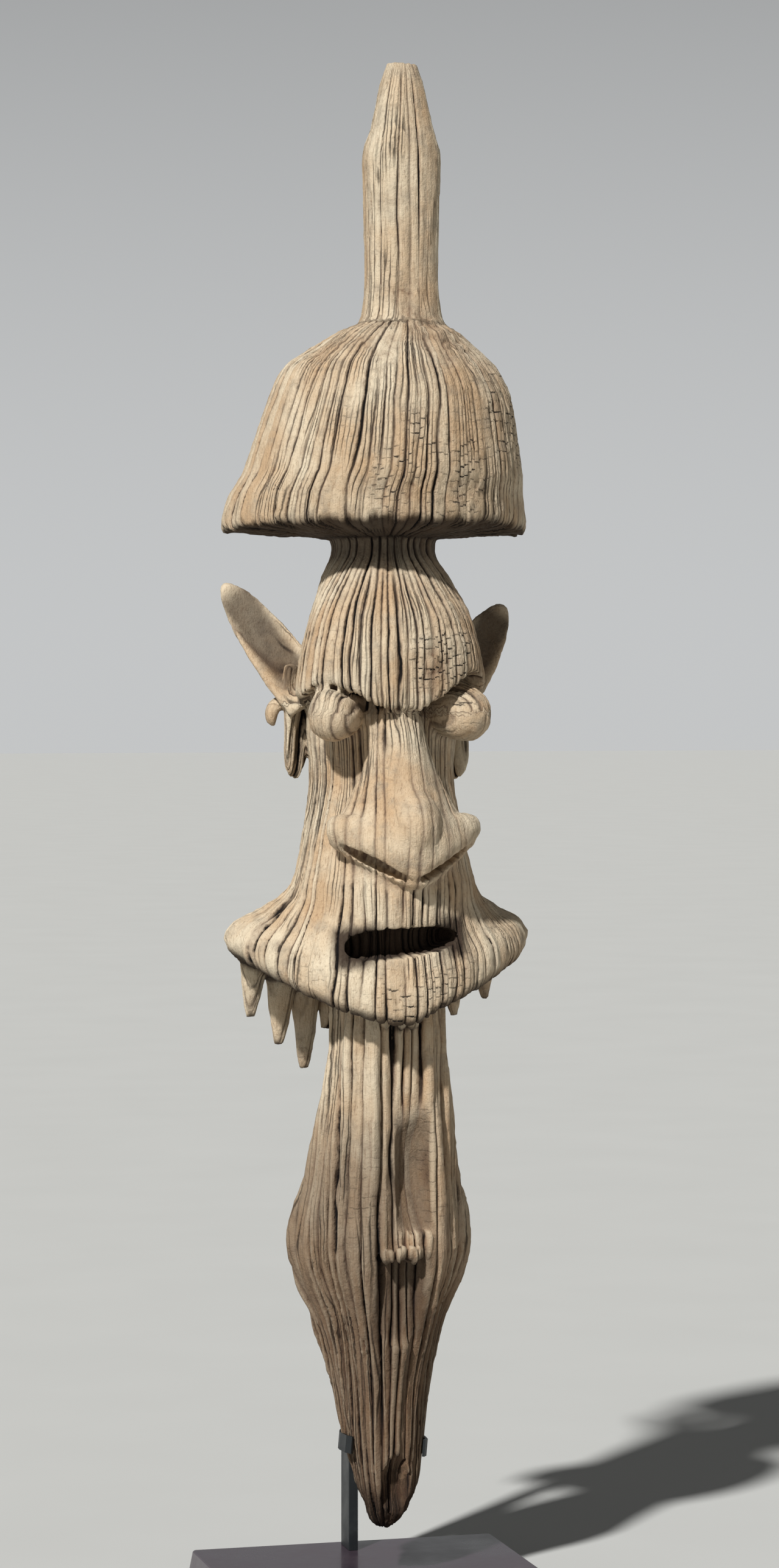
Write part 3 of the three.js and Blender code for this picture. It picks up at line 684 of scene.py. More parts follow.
# Ribs of the grain. Each zone of the carving has its own count of ribs round its own middle line, an
# even count so that they close round the back. Crown is how far a rib stands up between two cracks,
# shoulder how fast it does so, stand how much the ribs differ in height, crack the depth of an open
# crack, and least how open the tightest crack is. Heights are in millimetres.
ZONES = {
    "spire": {"count": 20, "crown": 1.3, "shoulder": 3.5, "stand": 1.0, "crack": 3.6, "least": -0.5},
    "cap": {"count": 70, "crown": 1.0, "shoulder": 2.2, "stand": 0.8, "crack": 3.6, "least": 0.1},
    "head": {"count": 60, "crown": 1.8, "shoulder": 2.6, "stand": 1.0, "crack": 3.6, "least": 0.2},
    "face": {"count": 58, "crown": 1.8, "shoulder": 2.6, "stand": 1.4, "crack": 4.0, "least": 0.1},
    "shaft": {"count": 36, "crown": 7.5, "shoulder": 4.0, "stand": 3.6, "crack": 6.0, "least": 0.5},
}
MERGED_WIDTH = (5.0, 8.0)
FINE_COUNT = 2.3


def zone_weights(places):
    """How much each point belongs to each zone, from its height and its distance from the axis."""
    x, y, z = places.T
    reach = np.hypot(x, y)
    spire = step_between(1556, 1584, z)
    above_neck = np.where(reach > 90, 1.0, step_between(NECK_Z - 2, NECK_Z + 8, z))
    cap = step_between(1290, 1300, z) * above_neck * (1 - spire)
    head_edge = np.where(y < -20, BROW_Z - 2, BROW_Z + 8)
    head = step_between(head_edge - 6, head_edge + 6, z) * (1 - cap) * (1 - spire)
    under_jaw = step_between(100, 84, reach) * step_between(790, 740, z)
    shaft = np.maximum(step_between(652, 640, z), under_jaw)
    face = np.clip(1 - shaft - head - cap - spire, 0, 1)
    return {"spire": spire, "cap": cap, "head": head, "face": face, "shaft": shaft}


def zone_middle(zone, z):
    """Middle line of a zone's ribs."""
    if zone in ("cap", "spire"):
        return table_value(CAP_SECTIONS, "x", z), table_value(CAP_SECTIONS, "y", z)
    middle = {"head": (0, -20), "face": (0, 5), "shaft": (2, 0)}[zone]
    return middle[0] + 0 * z, middle[1] + 0 * z


def rib_place(zone, places):
    """Position among a zone's ribs, count x turn / 2 pi, which wanders a little along the grain and
    between neighbours so that no two ribs are equally wide, and the width of one rib there."""
    x, y, z = places.T
    count = ZONES[zone]["count"]
    middle_x, middle_y = zone_middle(zone, z)
    turn = np.arctan2(x - middle_x, -(y - middle_y))
    reach = np.hypot(x - middle_x, y - middle_y)
    around = np.stack([np.cos(turn) * 100, np.sin(turn) * 100, z], axis=-1)
    s = count * turn / (2 * np.pi) + 0.4 * noise(around, (30, 30, 420), 11)
    s = s + 0.16 * noise(around, (9, 9, 46), 12) + 0.3 * noise(around, (7, 7, 900), 13)
    return s, 2 * np.pi * reach / count


def crack_opening(measures, crack, z, seed):
    """How open a crack is at a height, from 0 to 1: its own strength, which comes and goes along it."""
    zero = np.zeros_like(crack)
    strength = hashed(crack, zero + 1, zero, seed)
    down = np.stack([crack * 37.0, crack * 11.0, z], axis=-1)
    spread = 1.1 - measures["least"]
    return np.clip(measures["least"] + spread * strength + 0.5 * noise(down, (1, 1, 90), seed + 1), 0, 1)


def rib_height(measures, s, width, z, opening):
    """Height of a rib: crown (1 - exp(-away / shoulder)), where away is the distance from the nearest
    crack, with its own stand, less the crack's exp(-(away / 1.2)^2)."""
    rib = np.floor(s).astype(np.int64)
    zero = np.zeros_like(rib)
    away = np.abs(s - np.round(s)) * width
    small = np.clip(width / 11, 0.3, 1)
    crown = measures["crown"] * (1 - np.exp(-away / measures["shoulder"])) * (0.4 + 0.6 * opening)
    stand = measures["stand"] * (hashed(rib, zero, zero, measures["count"]) - 0.5)
    stand = stand * (1 - np.exp(-away / 1.5))
    return small * (crown + stand - measures["crack"] * opening * np.exp(-((away / 1.2) ** 2)))


def ribs(zone, places, seed):
    """The layers of a zone's grain. Where the ribs get narrow every second crack closes, so that two
    ribs become one."""
    measures = ZONES[zone]
    count = measures["count"]
    z = places[:, 2]
    s, width = rib_place(zone, places)
    s = (s + 1.5 * count) % count
    crack = np.round(s).astype(np.int64) % count
    opening = crack_opening(measures, crack, z, seed)
    apart = step_between(*MERGED_WIDTH, width)
    opening = opening * np.where(crack % 2 == 1, apart, 1)
    wide_opening = crack_opening(measures, 2 * np.round(s / 2).astype(np.int64) % count, z, seed)
    single = rib_height(measures, s, width, z, opening)
    double = rib_height(measures, s / 2, 2 * width, z, wide_opening)
    fine_s = s * FINE_COUNT + 0.5 * noise(places, (16, 16, 70), seed + 2)
    fine_open = np.clip(1.7 * noise(places, (22, 22, 90), seed + 3) + 0.35, 0, 1)
    fine_away = np.abs(fine_s - np.round(fine_s)) * width / FINE_COUNT
    fine = 1.5 * fine_open * np.exp(-((fine_away / 0.9) ** 2)) * np.clip(width / 13, 0.2, 1)
    block = np.floor(z / 13 + 7.3 * hashed(np.floor(fine_s).astype(np.int64), 0 * crack, 0 * crack, seed))
    blocks = hashed(np.floor(fine_s).astype(np.int64), block.astype(np.int64), 0 * crack, seed + 4) - 0.5
    return {
        "height": apart * single + (1 - apart) * double - fine,
        "blocks": blocks,
        "rib": s,
        "fine_rib": fine_s,
        "opening": opening,
        "fine_open": fine_open,
        "width": width,
    }


def within(places, x, y, z, radius, tall=1.0):
    """1 inside a round place and 0 outside it, with a soft edge, drawn out along the grain by tall."""
    away = np.linalg.norm((places - (x, y, z)) * (1, 1, 1 / tall), axis=1)
    return step_between(radius, 0.45 * radius, away)


# Worn places, where the ribs are ground down: the eye knobs, the nose, the ears, the teeth and the
# spoon-cut pocket.
def calm(places):
    """Share of the rib relief that is left."""
    x, y, z = places.T
    left = np.ones(len(places))
    eyes = np.hypot(np.hypot(np.abs(x) - EYE["x"], y - EYE["y"]), z - EYE_Z + 4)
    left *= 1 - 0.6 * step_between(56, 44, eyes) * step_between(1116, 1104, z) * step_between(-50, -70, y)
    nose = step_between(-88, -104, y) * step_between(60, 30, np.abs(x - 4)) * step_between(1075, 1030, z)
    nose *= step_between(NOSE_BASE_Z - 8, NOSE_BASE_Z + 2, z)
    wings = step_between(-84, -96, y) * step_between(NOSE_BASE_Z, NOSE_BASE_Z + 12, z) * step_between(985, 965, z)
    left *= 1 - 0.8 * np.maximum(nose, wings)
    ears = step_between(112, 126, np.abs(x)) * step_between(990, 1010, z) * step_between(1290, 1280, z)
    left *= 1 - 0.9 * ears * step_between(-60, -40, y)
    teeth = step_between(765, 745, z) * step_between(640, 650, z) * step_between(95, 100, np.hypot(x, y))
    left *= 1 - 0.6 * teeth * step_between(40, 55, y)
    pocket = step_between(POCKET["half_width"] + 2, POCKET["half_width"] - 4, np.abs(x - POCKET["x"]))
    pocket *= step_between(POCKET["bottom"] - 6, POCKET["bottom"] + 4, z) * step_between(640, 600, z)
    return left * (1 - 0.9 * pocket * step_between(0, -30, y))


# Crumbled places, where rot or a knot has broken the ribs up: middle, radius and depth.
CRUMBLED = (
    (52, -78, 1534, 62, 1.0),
    (100, -60, 1490, 46, 0.7),
    (-30, -90, 1545, 46, 0.7),
    (-80, -60, 1530, 40, 0.6),
    (36, -118, 1142, 34, 1.0),
    (40, -116, 1106, 22, 0.9),
    (0, -132, 1340, 34, 0.7),
    (60, -150, 1340, 40, 0.6),
    (-40, -140, 1332, 30, 0.5),
    (5, -20, 105, 56, 1.0),
    (20, -60, 150, 40, 0.8),
    (18, -60, 1590, 34, 0.8),
    (-176, 16, 800, 34, 0.5),
    (176, 16, 800, 40, 0.7),
)


def crumbling(places):
    """How broken up the surface is, from 0 to 1, about the crumbled places, with uneven edges."""
    total = np.zeros(len(places))
    for x, y, z, radius, depth in CRUMBLED:
        total = np.maximum(total, depth * within(places, x, y, z, radius, 1.3))
    return total * np.clip(0.75 + 0.9 * noise(places, (14, 14, 20), 51), 0, 1)


def checked(places):
    """Where short cracks run across the grain and break the ribs into blocks, from 0 to 1."""
    total = 0.9 * within(places, 40, -160, 1370, 110, 1.1)
    total = np.maximum(total, within(places, 50, -110, 1150, 70, 1.2))
    total = np.maximum(total, within(places, 10, -150, 750, 90, 0.7))
    total = np.maximum(total, within(places, 130, -60, 1450, 80, 1.4))
    return np.clip(total * 1.2 + 0.5 * noise(places, (40, 40, 60), 61) - 0.1, 0, 1)


def stain_and_painted_shade(places, facing):
    """How much darker the wood is painted, from 0 to 1, mostly as painted shade and partly as staining:
    shade on the faces that look down under the cap and the jaw, the cap's cast shadow on the neck,
    shade inside the mouth, the notch and the pocket; and darker ears' hollows, a darker left flank
    and lower shaft, and the dark rotten tip."""
    x, y, z = places.T
    # Painted shade on the faces that look down under the cap and under the jaw.
    down = step_between(-0.15, -0.75, facing[:, 2])
    shade_under_cap = down * step_between(1285, 1300, z) * step_between(1345, 1330, z)
    # The cap's cast shadow on the neck, painted.
    neck = step_between(1262, 1290, z) * step_between(1325, 1310, z) * step_between(110, 80, np.hypot(x, y))
    under_jaw = down * step_between(835, 800, z) * step_between(640, 660, z)
    # Painted shade inside the mouth.
    inside = step_between(-118, -100, y + 0.35 * np.abs(x)) * step_between(90, 74, np.abs(x - MOUTH["x"]))
    inside *= step_between(30, 20, np.abs(z - MOUTH_Z - MOUTH["tilt"] * x)) * step_between(-30, -50, y)
    # The ledge's shadow in the notch, painted.
    notch = step_between(-20, -40, y) * step_between(NOTCH["top"] + 10, NOTCH["top"], z)
    notch *= step_between(NOTCH["bottom"] - 20, NOTCH["bottom"] + 20, z)
    notch *= step_between(NOTCH["half_width"] + 6, NOTCH["half_width"] - 4, np.abs(x - NOTCH["x"]))
    # Painted shade in the pocket.
    pocket = step_between(POCKET["half_width"] + 4, POCKET["half_width"] - 6, np.abs(x - POCKET["x"]))
    pocket *= step_between(POCKET["bottom"] - 4, POCKET["bottom"] + 6, z) * step_between(625, 585, z)
    pocket *= step_between(-10, -35, y)
    # Darker on the shaft's left flank, towards its bottom and at the rotten tip.
    left_flank = step_between(640, 520, z) * step_between(12, -22, x)
    low_shaft = step_between(430, 340, z)
    tip = step_between(190, 120, z)
    total = 0.9 * shade_under_cap
    parts = (
        (neck, 0.75),
        (under_jaw, 0.9),
        (inside, 0.95),
        (notch, 0.7),
        (pocket, 0.55),
        (left_flank, 0.4),
        (low_shaft, 0.45),
        (tip, 0.85),
    )
    for part, strength in parts:
        total = np.maximum(total, strength * part)
    # Darker in the ears' hollows.
    for side in (-1, 1):
        root = np.array([side * EAR_ROOT[0], EAR_ROOT[1], EAR_ROOT[2]])
        tip_place = np.array([side * EAR_TIP[0], EAR_TIP[1], EAR_TIP_Z[side]])
        length = unit(tip_place - root)
        off = places - root
        across = off - (off @ length)[:, None] * length
        hollow = step_between(27, 16, np.linalg.norm(across, axis=1)) * step_between(0.1, -0.3, facing[:, 1])
        along = off @ length / np.linalg.norm(tip_place - root)
        hollow *= step_between(0.12, 0.25, along) * step_between(0.97, 0.85, along)
        total = np.maximum(total, 0.75 * hollow)
    return total


base = read_points(wood_mesh)
base[:, 2] *= GRAIN_STRETCH
base = softened(wood_mesh, base, 1)
write_points(wood_mesh, base)
normals = np.empty(len(base) * 3)
wood_mesh.vertex_normals.foreach_get("vector", normals)
normals = normals.reshape(-1, 3)
places = base / MM

LAYERS = ("height", "blocks", "rib", "fine_rib", "opening", "fine_open", "width")
surface = {name: np.zeros(len(places)) for name in LAYERS}
for seed, (zone, weight) in enumerate(zone_weights(places).items()):
    index = np.flatnonzero(weight > 0.5)
    for name, values in ribs(zone, places[index], 100 + 10 * seed).items():
        surface[name][index] = values

crumb = crumbling(places)
checks = checked(places)
stain_and_shade = stain_and_painted_shade(places, normals)
grain = calm(places) * (1 - 0.6 * crumb)
height = (surface["height"] - 1) * grain + 1.6 * checks * surface["blocks"] * grain
height += 1.3 * noise(places, (46, 46, 110), 31) + 0.6 * layered(places, (9, 9, 22), 32)
height += 0.4 * layered(places, (4, 4, 7), 36, 2)
height += crumb * (3.6 * np.abs(layered(places, (10, 10, 14), 41)) - 4.2)
moved = normals * height[:, None]

# The rim's lower edge and the ledge under the channel are ragged: each rib ends at its own height.
x, y, z = places.T
fine_rib = np.floor(surface["fine_rib"]).astype(np.int64)
ragged = hashed(fine_rib, 0 * fine_rib, 0 * fine_rib, 71) - 0.5
rim = step_between(1290, 1305, z) * step_between(1350, 1326, z) * step_between(100, 140, np.hypot(x, y))
ledge = step_between(CHANNEL["bottom"] - 24, CHANNEL["bottom"] - 8, z) * step_between(480, 455, z)
ledge *= step_between(44, 34, np.abs(x - CHANNEL["x"])) * step_between(-20, -40, y)
brow = step_between(1060, 1085, z) * step_between(1165, 1135, z) * step_between(-60, -80, y)
moved[:, 2] += (6 * rim + 6 * ledge + 4 * brow) * ragged
points = base + moved * MM
write_points(wood_mesh, points)

# Hollow is how far a point lies under the mean of its surroundings, 1 for a millimetre and a half.
HOLLOW_FULL = 1.5
smooth = softened(wood_mesh, points, 8)
surface["hollow"] = np.clip(np.einsum("ij,ij->i", smooth - points, normals) / MM / HOLLOW_FULL, -1, 1)
surface["grain"] = grain
surface["crumb"] = crumb
surface["checks"] = checks
surface["stain_and_shade"] = stain_and_shade
for name in ("rib", "fine_rib", "opening", "fine_open", "width", "grain", "crumb", "checks", "stain_and_shade", "hollow"):
    layer = wood_mesh.attributes.new(name, "FLOAT", "POINT")
    layer.data.foreach_set("value", surface[name])

TRIANGLES = 190_000
quads = len(wood_mesh.polygons)
thin = carving.modifiers.new("fewer faces", "DECIMATE")
thin.ratio = min(1, TRIANGLES / (2 * quads))
thin.use_collapse_triangulate = True
wood_mesh = applied(carving)
wood_mesh.polygons.foreach_set("use_smooth", np.ones(len(wood_mesh.polygons), bool))
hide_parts("carving")
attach(carving, "root")


def node(tree, kind, inputs, out=0, **settings):
    """Adds a node with its settings and gives one of its outputs. An input that is given a socket is
    linked, others are set."""
    made = tree.nodes.new("ShaderNode" + kind)
    for name, value in settings.items():
        setattr(made, name, value)
    for key, value in inputs.items():
        if isinstance(value, bpy.types.NodeSocket):
            tree.links.new(value, made.inputs[key])
        else:
            made.inputs[key].default_value = value
    return made.outputs[out] if made.outputs else None


def colour(hex_code):
    """Linear colour of an sRGB hex value."""
    channels = [int(hex_code[k : k + 2], 16) / 255 for k in (0, 2, 4)]
    return [c / 12.92 if c <= 0.04045 else ((c + 0.055) / 1.055) ** 2.4 for c in channels] + [1]


def new_material(name):
    """Empty material and its node tree."""
    made = bpy.data.materials.new(name)
    made.use_nodes = True
    made.node_tree.nodes.clear()
    return made, made.node_tree


# Weathered hardwood: bare, greyed and dry, so it is rough and has almost no shine. Rain has bleached
# the ribs to cream, tan and grey, with red-brown edges to the cracks. Painted shade makes the cracks
# nearly black and darkens the hollows, what faces down and what lies under the cap and the jaw.
MIX_A, MIX_B, MIX_OUT = 6, 7, 2
WOOD_PALE = "cfc0a6"
WOOD_TAN = "b89c7b"
WOOD_GREY = "9a8d7a"
WOOD_BROWN = "73543a"
# The next three colours: the dark brown for staining and painted shade, the red-brown of crack edges that also paints
# shade in hollows, and the near black that paints the shade inside cracks.
WOOD_STAINED_AND_SHADED = "2b1e16"
CRACK_EDGE_AND_HOLLOW_SHADE = "54362a"
CRACK_SHADE = "0e0a09"
CHECK_SPACING = 0.012
FIBRE_ACROSS = 0.0016
FIBRE_ALONG = 0.03

weathered, tree = new_material("weathered_hardwood")
place = node(tree, "TexCoord", {}, "Object")
height = node(tree, "SeparateXYZ", {0: place}, "Z")
layers = {
    name: node(tree, "Attribute", {}, "Fac", attribute_name=name)
    for name in ("rib", "fine_rib", "opening", "fine_open", "width", "grain", "crumb", "checks", "stain_and_shade", "hollow")
}

# Fibres, patches of tone and pits, each as wide as the real ones.
fibre_place = node(tree, "Mapping", {"Vector": place, "Scale": (1 / FIBRE_ACROSS, 1 / FIBRE_ACROSS, 1 / FIBRE_ALONG)})
fibre = node(tree, "TexNoise", {"Vector": fibre_place, "Scale": 1, "Detail": 4, "Roughness": 0.6})
patch = node(tree, "TexNoise", {"Vector": place, "Scale": 12, "Detail": 4, "Roughness": 0.6})
bloom = node(tree, "TexNoise", {"Vector": place, "Scale": 40, "Detail": 5, "Roughness": 0.65})
speck = node(tree, "TexNoise", {"Vector": place, "Scale": 260, "Detail": 4, "Roughness": 0.7})
shake = node(tree, "Math", {0: bloom, 1: 0.5}, operation="SUBTRACT")

# Cracks: the distance in millimetres from the middle of the nearest one, made ragged by the noise.
rib = node(tree, "Math", {0: shake, 1: 0.25, 2: layers["rib"]}, operation="MULTIPLY_ADD")
near = node(tree, "Math", {0: rib}, operation="ROUND")
near = node(tree, "Math", {0: rib, 1: near}, operation="SUBTRACT")
near = node(tree, "Math", {0: near}, operation="ABSOLUTE")
near = node(tree, "Math", {0: near, 1: layers["width"]}, operation="MULTIPLY")
line = node(tree, "MapRange", {"Value": near, "From Min": 0.6, "From Max": 1.6, "To Min": 1.0, "To Max": 0.0})
line = node(tree, "Math", {0: line, 1: layers["opening"]}, operation="MULTIPLY")
edge = node(tree, "MapRange", {"Value": near, "From Min": 1.0, "From Max": 4.0, "To Min": 1.0, "To Max": 0.0})
edge = node(tree, "Math", {0: edge, 1: layers["opening"]}, operation="MULTIPLY")

fine = node(tree, "Math", {0: shake, 1: 0.4, 2: layers["fine_rib"]}, operation="MULTIPLY_ADD")
fine_near = node(tree, "Math", {0: fine}, operation="ROUND")
fine_near = node(tree, "Math", {0: fine, 1: fine_near}, operation="SUBTRACT")
fine_near = node(tree, "Math", {0: fine_near}, operation="ABSOLUTE")
fine_near = node(tree, "Math", {0: fine_near, 1: layers["width"]}, operation="MULTIPLY")
fine_line = node(
    tree, "MapRange", {"Value": fine_near, "From Min": 0.5, "From Max": 2.2, "To Min": 0.75, "To Max": 0.0}
)
fine_line = node(tree, "Math", {0: fine_line, 1: layers["fine_open"]}, operation="MULTIPLY")

# Checks: short cracks across a rib, each rib with its own places for them.
fine_index = node(tree, "Math", {0: fine}, operation="FLOOR")
fine_own = node(tree, "TexWhiteNoise", {"W": fine_index}, "Value", noise_dimensions="1D")
check_at = node(tree, "Math", {0: height, 1: 1 / CHECK_SPACING, 2: shake}, operation="MULTIPLY_ADD")
check_at = node(tree, "Math", {0: fine_own, 1: 7.0, 2: check_at}, operation="MULTIPLY_ADD")
check = node(tree, "Math", {0: check_at}, operation="ROUND")
check = node(tree, "Math", {0: check_at, 1: check}, operation="SUBTRACT")
check = node(tree, "Math", {0: check}, operation="ABSOLUTE")
check = node(tree, "MapRange", {"Value": check, "From Min": 0.03, "From Max": 0.1, "To Min": 1.0, "To Max": 0.0})
check_some = node(tree, "MapRange", {"Value": bloom, "From Min": 0.42, "From Max": 0.58})
check = node(tree, "Math", {0: check, 1: check_some}, operation="MULTIPLY")
check = node(tree, "Math", {0: check, 1: layers["checks"]}, operation="MULTIPLY")

# All crack lines together, painted nearly black as the shade inside them, fainter where the surface is worn smooth.
kept = node(tree, "MapRange", {"Value": layers["grain"], "From Min": 0.05, "From Max": 0.9, "To Min": 0.1})
dark = node(tree, "Math", {0: line, 1: fine_line}, operation="MAXIMUM")
dark = node(tree, "Math", {0: dark, 1: kept}, operation="MULTIPLY")
dark = node(tree, "Math", {0: dark, 1: check}, operation="MAXIMUM")

# Colour, from the bleached ground to what lies over it.
rib_index = node(tree, "Math", {0: layers["rib"]}, operation="FLOOR")
rib_own = node(tree, "TexWhiteNoise", {"W": rib_index}, "Value", noise_dimensions="1D")
tone = node(tree, "Math", {0: rib_own, 1: 0.22, 2: patch}, operation="MULTIPLY_ADD")
tone = node(tree, "MapRange", {"Value": tone, "From Min": 0.4, "From Max": 0.78})
ground = node(
    tree, "Mix", {0: tone, MIX_A: colour(WOOD_TAN), MIX_B: colour(WOOD_PALE)}, MIX_OUT, data_type="RGBA"
)
greying = node(tree, "MapRange", {"Value": bloom, "From Min": 0.5, "From Max": 0.7, "To Max": 0.7})
ground = node(tree, "Mix", {0: greying, MIX_A: ground, MIX_B: colour(WOOD_GREY)}, MIX_OUT, data_type="RGBA")
streak = node(tree, "MapRange", {"Value": fibre, "From Min": 0.52, "From Max": 0.75, "To Max": 0.55})
ground = node(tree, "Mix", {0: streak, MIX_A: ground, MIX_B: colour(WOOD_BROWN)}, MIX_OUT, data_type="RGBA")
pit = node(tree, "MapRange", {"Value": speck, "From Min": 0.58, "From Max": 0.72, "To Max": 0.45})
ground = node(tree, "Mix", {0: pit, MIX_A: ground, MIX_B: colour(WOOD_BROWN)}, MIX_OUT, data_type="RGBA")
# Darker brown towards the bottom of the carving.
low = node(tree, "MapRange", {"Value": height, "From Min": 0.72, "From Max": 0.34, "To Max": 0.72})
ground = node(tree, "Mix", {0: low, MIX_A: ground, MIX_B: colour(WOOD_BROWN)}, MIX_OUT, data_type="RGBA")
# Painted shade where the surface lies in a hollow, in the red-brown of the crack edges.
hollow_shade = node(tree, "MapRange", {"Value": layers["hollow"], "From Min": 0.1, "From Max": 0.9, "To Max": 0.75})
ground = node(tree, "Mix", {0: hollow_shade, MIX_A: ground, MIX_B: colour(CRACK_EDGE_AND_HOLLOW_SHADE)}, MIX_OUT, data_type="RGBA")
worn = node(tree, "MapRange", {"Value": layers["hollow"], "From Min": -0.3, "From Max": -1.0, "To Max": 0.4})
ground = node(tree, "Mix", {0: worn, MIX_A: ground, MIX_B: colour(WOOD_PALE)}, MIX_OUT, data_type="RGBA")
rotten = node(tree, "MapRange", {"Value": layers["crumb"], "From Min": 0.2, "From Max": 1.0, "To Max": 0.35})
ground = node(tree, "Mix", {0: rotten, MIX_A: ground, MIX_B: colour(WOOD_BROWN)}, MIX_OUT, data_type="RGBA")
edge = node(tree, "Math", {0: edge, 1: 0.4}, operation="MULTIPLY")
ground = node(tree, "Mix", {0: edge, MIX_A: ground, MIX_B: colour(CRACK_EDGE_AND_HOLLOW_SHADE)}, MIX_OUT, data_type="RGBA")
# Painted shade with some staining: darker under the cap and jaw, on the neck, in the mouth, notch, pocket and ears'
# hollows, and low on the shaft.
ground = node(
    tree, "Mix", {0: layers["stain_and_shade"], MIX_A: ground, MIX_B: colour(WOOD_STAINED_AND_SHADED)}, MIX_OUT, data_type="RGBA"
)
# Painted shade in the cracks, nearly black.
ground = node(tree, "Mix", {0: dark, MIX_A: ground, MIX_B: colour(CRACK_SHADE)}, MIX_OUT, data_type="RGBA")

relief = node(tree, "Math", {0: fibre, 1: 0.6, 2: speck}, operation="MULTIPLY_ADD")
relief = node(tree, "Math", {0: dark, 1: -0.8, 2: relief}, operation="MULTIPLY_ADD")
bump = node(tree, "Bump", {"Height": relief, "Strength": 0.8, "Distance": 0.002})
shader = node(tree, "BsdfPrincipled", {"Base Color": ground, "Roughness": 0.88, "Specular IOR Level": 0.2, "Normal": bump})
node(tree, "OutputMaterial", {"Surface": shader})
wood_mesh.materials.clear()
wood_mesh.materials.append(weathered)


# Foot: a heavy square steel plate with battered sides. It is sprayed with dark purple-brown lacquer,
# which is glossy, with a faint orange peel, thin dust on top and fine specks in it.
PEEL_SIZE = 0.004
SPECK_SIZE = 0.0012
lacquer, tree = new_material("sprayed_lacquer_on_steel")
place = node(tree, "TexCoord", {}, "Object")
facing = node(tree, "SeparateXYZ", {0: node(tree, "NewGeometry", {}, "Normal")}, "Z")
cloud = node(tree, "TexNoise", {"Vector": place, "Scale": 9, "Detail": 5, "Roughness": 0.6})
peel = node(tree, "TexNoise", {"Vector": place, "Scale": 1 / PEEL_SIZE, "Detail": 2})
specks = node(tree, "TexNoise", {"Vector": place, "Scale": 1 / SPECK_SIZE, "Detail": 2})
specks = node(tree, "MapRange", {"Value": specks, "From Min": 0.68, "From Max": 0.76, "To Max": 0.5})
dust = node(tree, "MapRange", {"Value": cloud, "From Min": 0.4, "From Max": 0.75, "To Max": 0.3})
dust = node(tree, "Math", {0: dust, 1: facing}, operation="MULTIPLY", use_clamp=True)
paint = node(tree, "Mix", {0: cloud, MIX_A: colour("2b2029"), MIX_B: colour("3a2c38")}, MIX_OUT, data_type="RGBA")
paint = node(tree, "Mix", {0: specks, MIX_A: paint, MIX_B: colour("8f8894")}, MIX_OUT, data_type="RGBA")
paint = node(tree, "Mix", {0: dust, MIX_A: paint, MIX_B: colour("6f6668")}, MIX_OUT, data_type="RGBA")
gloss = node(tree, "MapRange", {"Value": cloud, "From Min": 0.3, "From Max": 0.7, "To Min": 0.2, "To Max": 0.42})
bump = node(tree, "Bump", {"Height": peel, "Strength": 0.12, "Distance": 0.0004})
shader = node(tree, "BsdfPrincipled", {"Base Color": paint, "Roughness": gloss, "Coat Weight": 0.35, "Normal": bump})
node(tree, "OutputMaterial", {"Surface": shader})
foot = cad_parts["foot_plate"]
foot.data.materials.clear()
foot.data.materials.append(lacquer)


# Post, cradle and saddle: flat bars and bent strips of mild steel, welded, and painted satin black.
# The brushed paint shows as faint streaks along the bars, a little worn to grey in places.
STREAK_ACROSS = 0.0015
STREAK_ALONG = 0.05
black, tree = new_material("black_painted_mild_steel")
place = node(tree, "TexCoord", {}, "Object")
streaks = (1 / STREAK_ACROSS, 1 / STREAK_ACROSS, 1 / STREAK_ALONG)
brushed = node(tree, "Mapping", {"Vector": place, "Scale": streaks})
brushed = node(tree, "TexNoise", {"Vector": brushed, "Scale": 1, "Detail": 3, "Roughness": 0.6})
cloud = node(tree, "TexNoise", {"Vector": place, "Scale": 24, "Detail": 5, "Roughness": 0.65})
wear = node(tree, "MapRange", {"Value": cloud, "From Min": 0.56, "From Max": 0.74, "To Max": 0.35})
paint = node(tree, "Mix", {0: brushed, MIX_A: colour("0b0e0f"), MIX_B: colour("171c1e")}, MIX_OUT, data_type="RGBA")
paint = node(tree, "Mix", {0: wear, MIX_A: paint, MIX_B: colour("313534")}, MIX_OUT, data_type="RGBA")
gloss = node(tree, "MapRange", {"Value": cloud, "From Min": 0.3, "From Max": 0.7, "To Min": 0.34, "To Max": 0.55})
bump = node(tree, "Bump", {"Height": brushed, "Strength": 0.2, "Distance": 0.0003})
shader = node(tree, "BsdfPrincipled", {"Base Color": paint, "Roughness": gloss, "Normal": bump})
node(tree, "OutputMaterial", {"Surface": shader})
for name in ("post", "lower_cradle", "upper_saddle"):
    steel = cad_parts[name]
    steel.data.materials.clear()
    steel.data.materials.append(black)


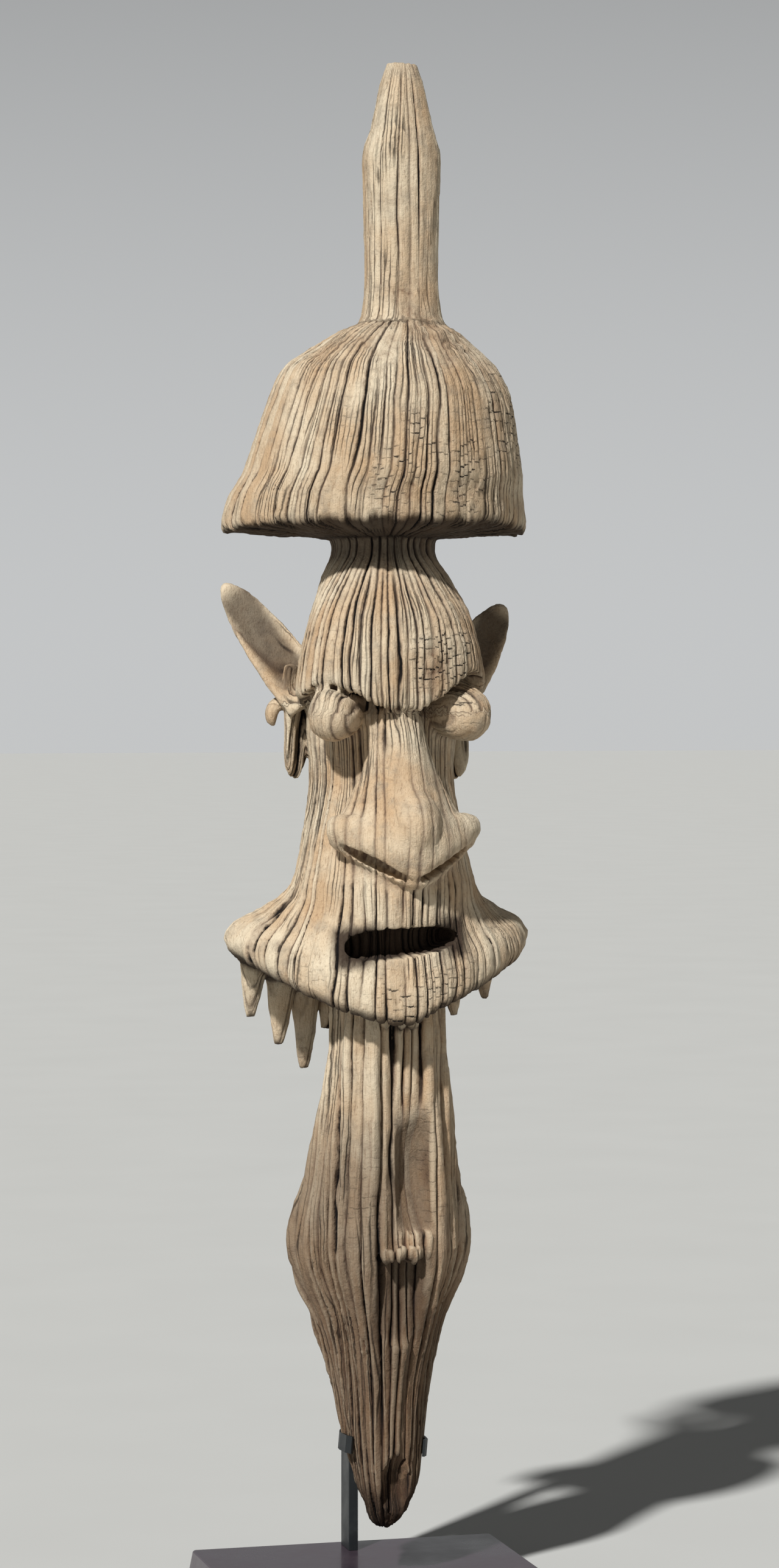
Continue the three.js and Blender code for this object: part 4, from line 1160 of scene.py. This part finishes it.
# Studio: a plain pale floor, one key light from the upper left in front, and an even sky that is
# as bright at the horizon as the floor and darker overhead.
FLOOR_HALF = 60
floor_mesh = bpy.data.meshes.new("studio_floor")
corners = [(x * FLOOR_HALF, y * FLOOR_HALF, 0) for x, y in ((-1, -1), (1, -1), (1, 1), (-1, 1))]
floor_mesh.from_pydata(corners, [], [(0, 1, 2, 3)])
floor = bpy.data.objects.new("studio_floor", floor_mesh)
bpy.context.scene.collection.objects.link(floor)
matt, tree = new_material("matt_floor_paint")
grit = node(tree, "TexNoise", {"Vector": node(tree, "TexCoord", {}, "Object"), "Scale": 3, "Detail": 3})
pale = node(tree, "Mix", {0: grit, MIX_A: colour("bdbdb9"), MIX_B: colour("c3c3bf")}, MIX_OUT, data_type="RGBA")
shader = node(tree, "BsdfPrincipled", {"Base Color": pale, "Roughness": 0.9})
node(tree, "OutputMaterial", {"Surface": shader})
floor_mesh.materials.append(matt)

LIGHT_TRAVEL = Vector((0.55, 0.62, -0.75))
key_data = bpy.data.lights.new("key_light", "SUN")
key_data.angle = math.radians(3)
key_data.energy = 4.6
key = bpy.data.objects.new("key_light", key_data)
key.location = -3 * LIGHT_TRAVEL
key.rotation_euler = LIGHT_TRAVEL.to_track_quat("-Z", "Y").to_euler()
bpy.context.scene.collection.objects.link(key)

AIR_AT_HORIZON = 0.62
AIR_OVERHEAD = 0.1
FADE_HEIGHT = 0.4
air = bpy.data.worlds.new("studio_air")
air.use_nodes = True
tree = air.node_tree
tree.nodes.clear()
climb = node(tree, "SeparateXYZ", {0: node(tree, "TexCoord", {}, "Generated")}, "Z")
strength = node(
    tree,
    "MapRange",
    {"Value": climb, "From Max": FADE_HEIGHT, "To Min": AIR_AT_HORIZON, "To Max": AIR_OVERHEAD},
    interpolation_type="SMOOTHSTEP",
)
sky = node(tree, "Background", {"Color": colour("f2f4f5"), "Strength": strength})
node(tree, "OutputWorld", {"Surface": sky})
bpy.context.scene.world = air
bpy.context.scene.view_settings.view_transform = "Standard"
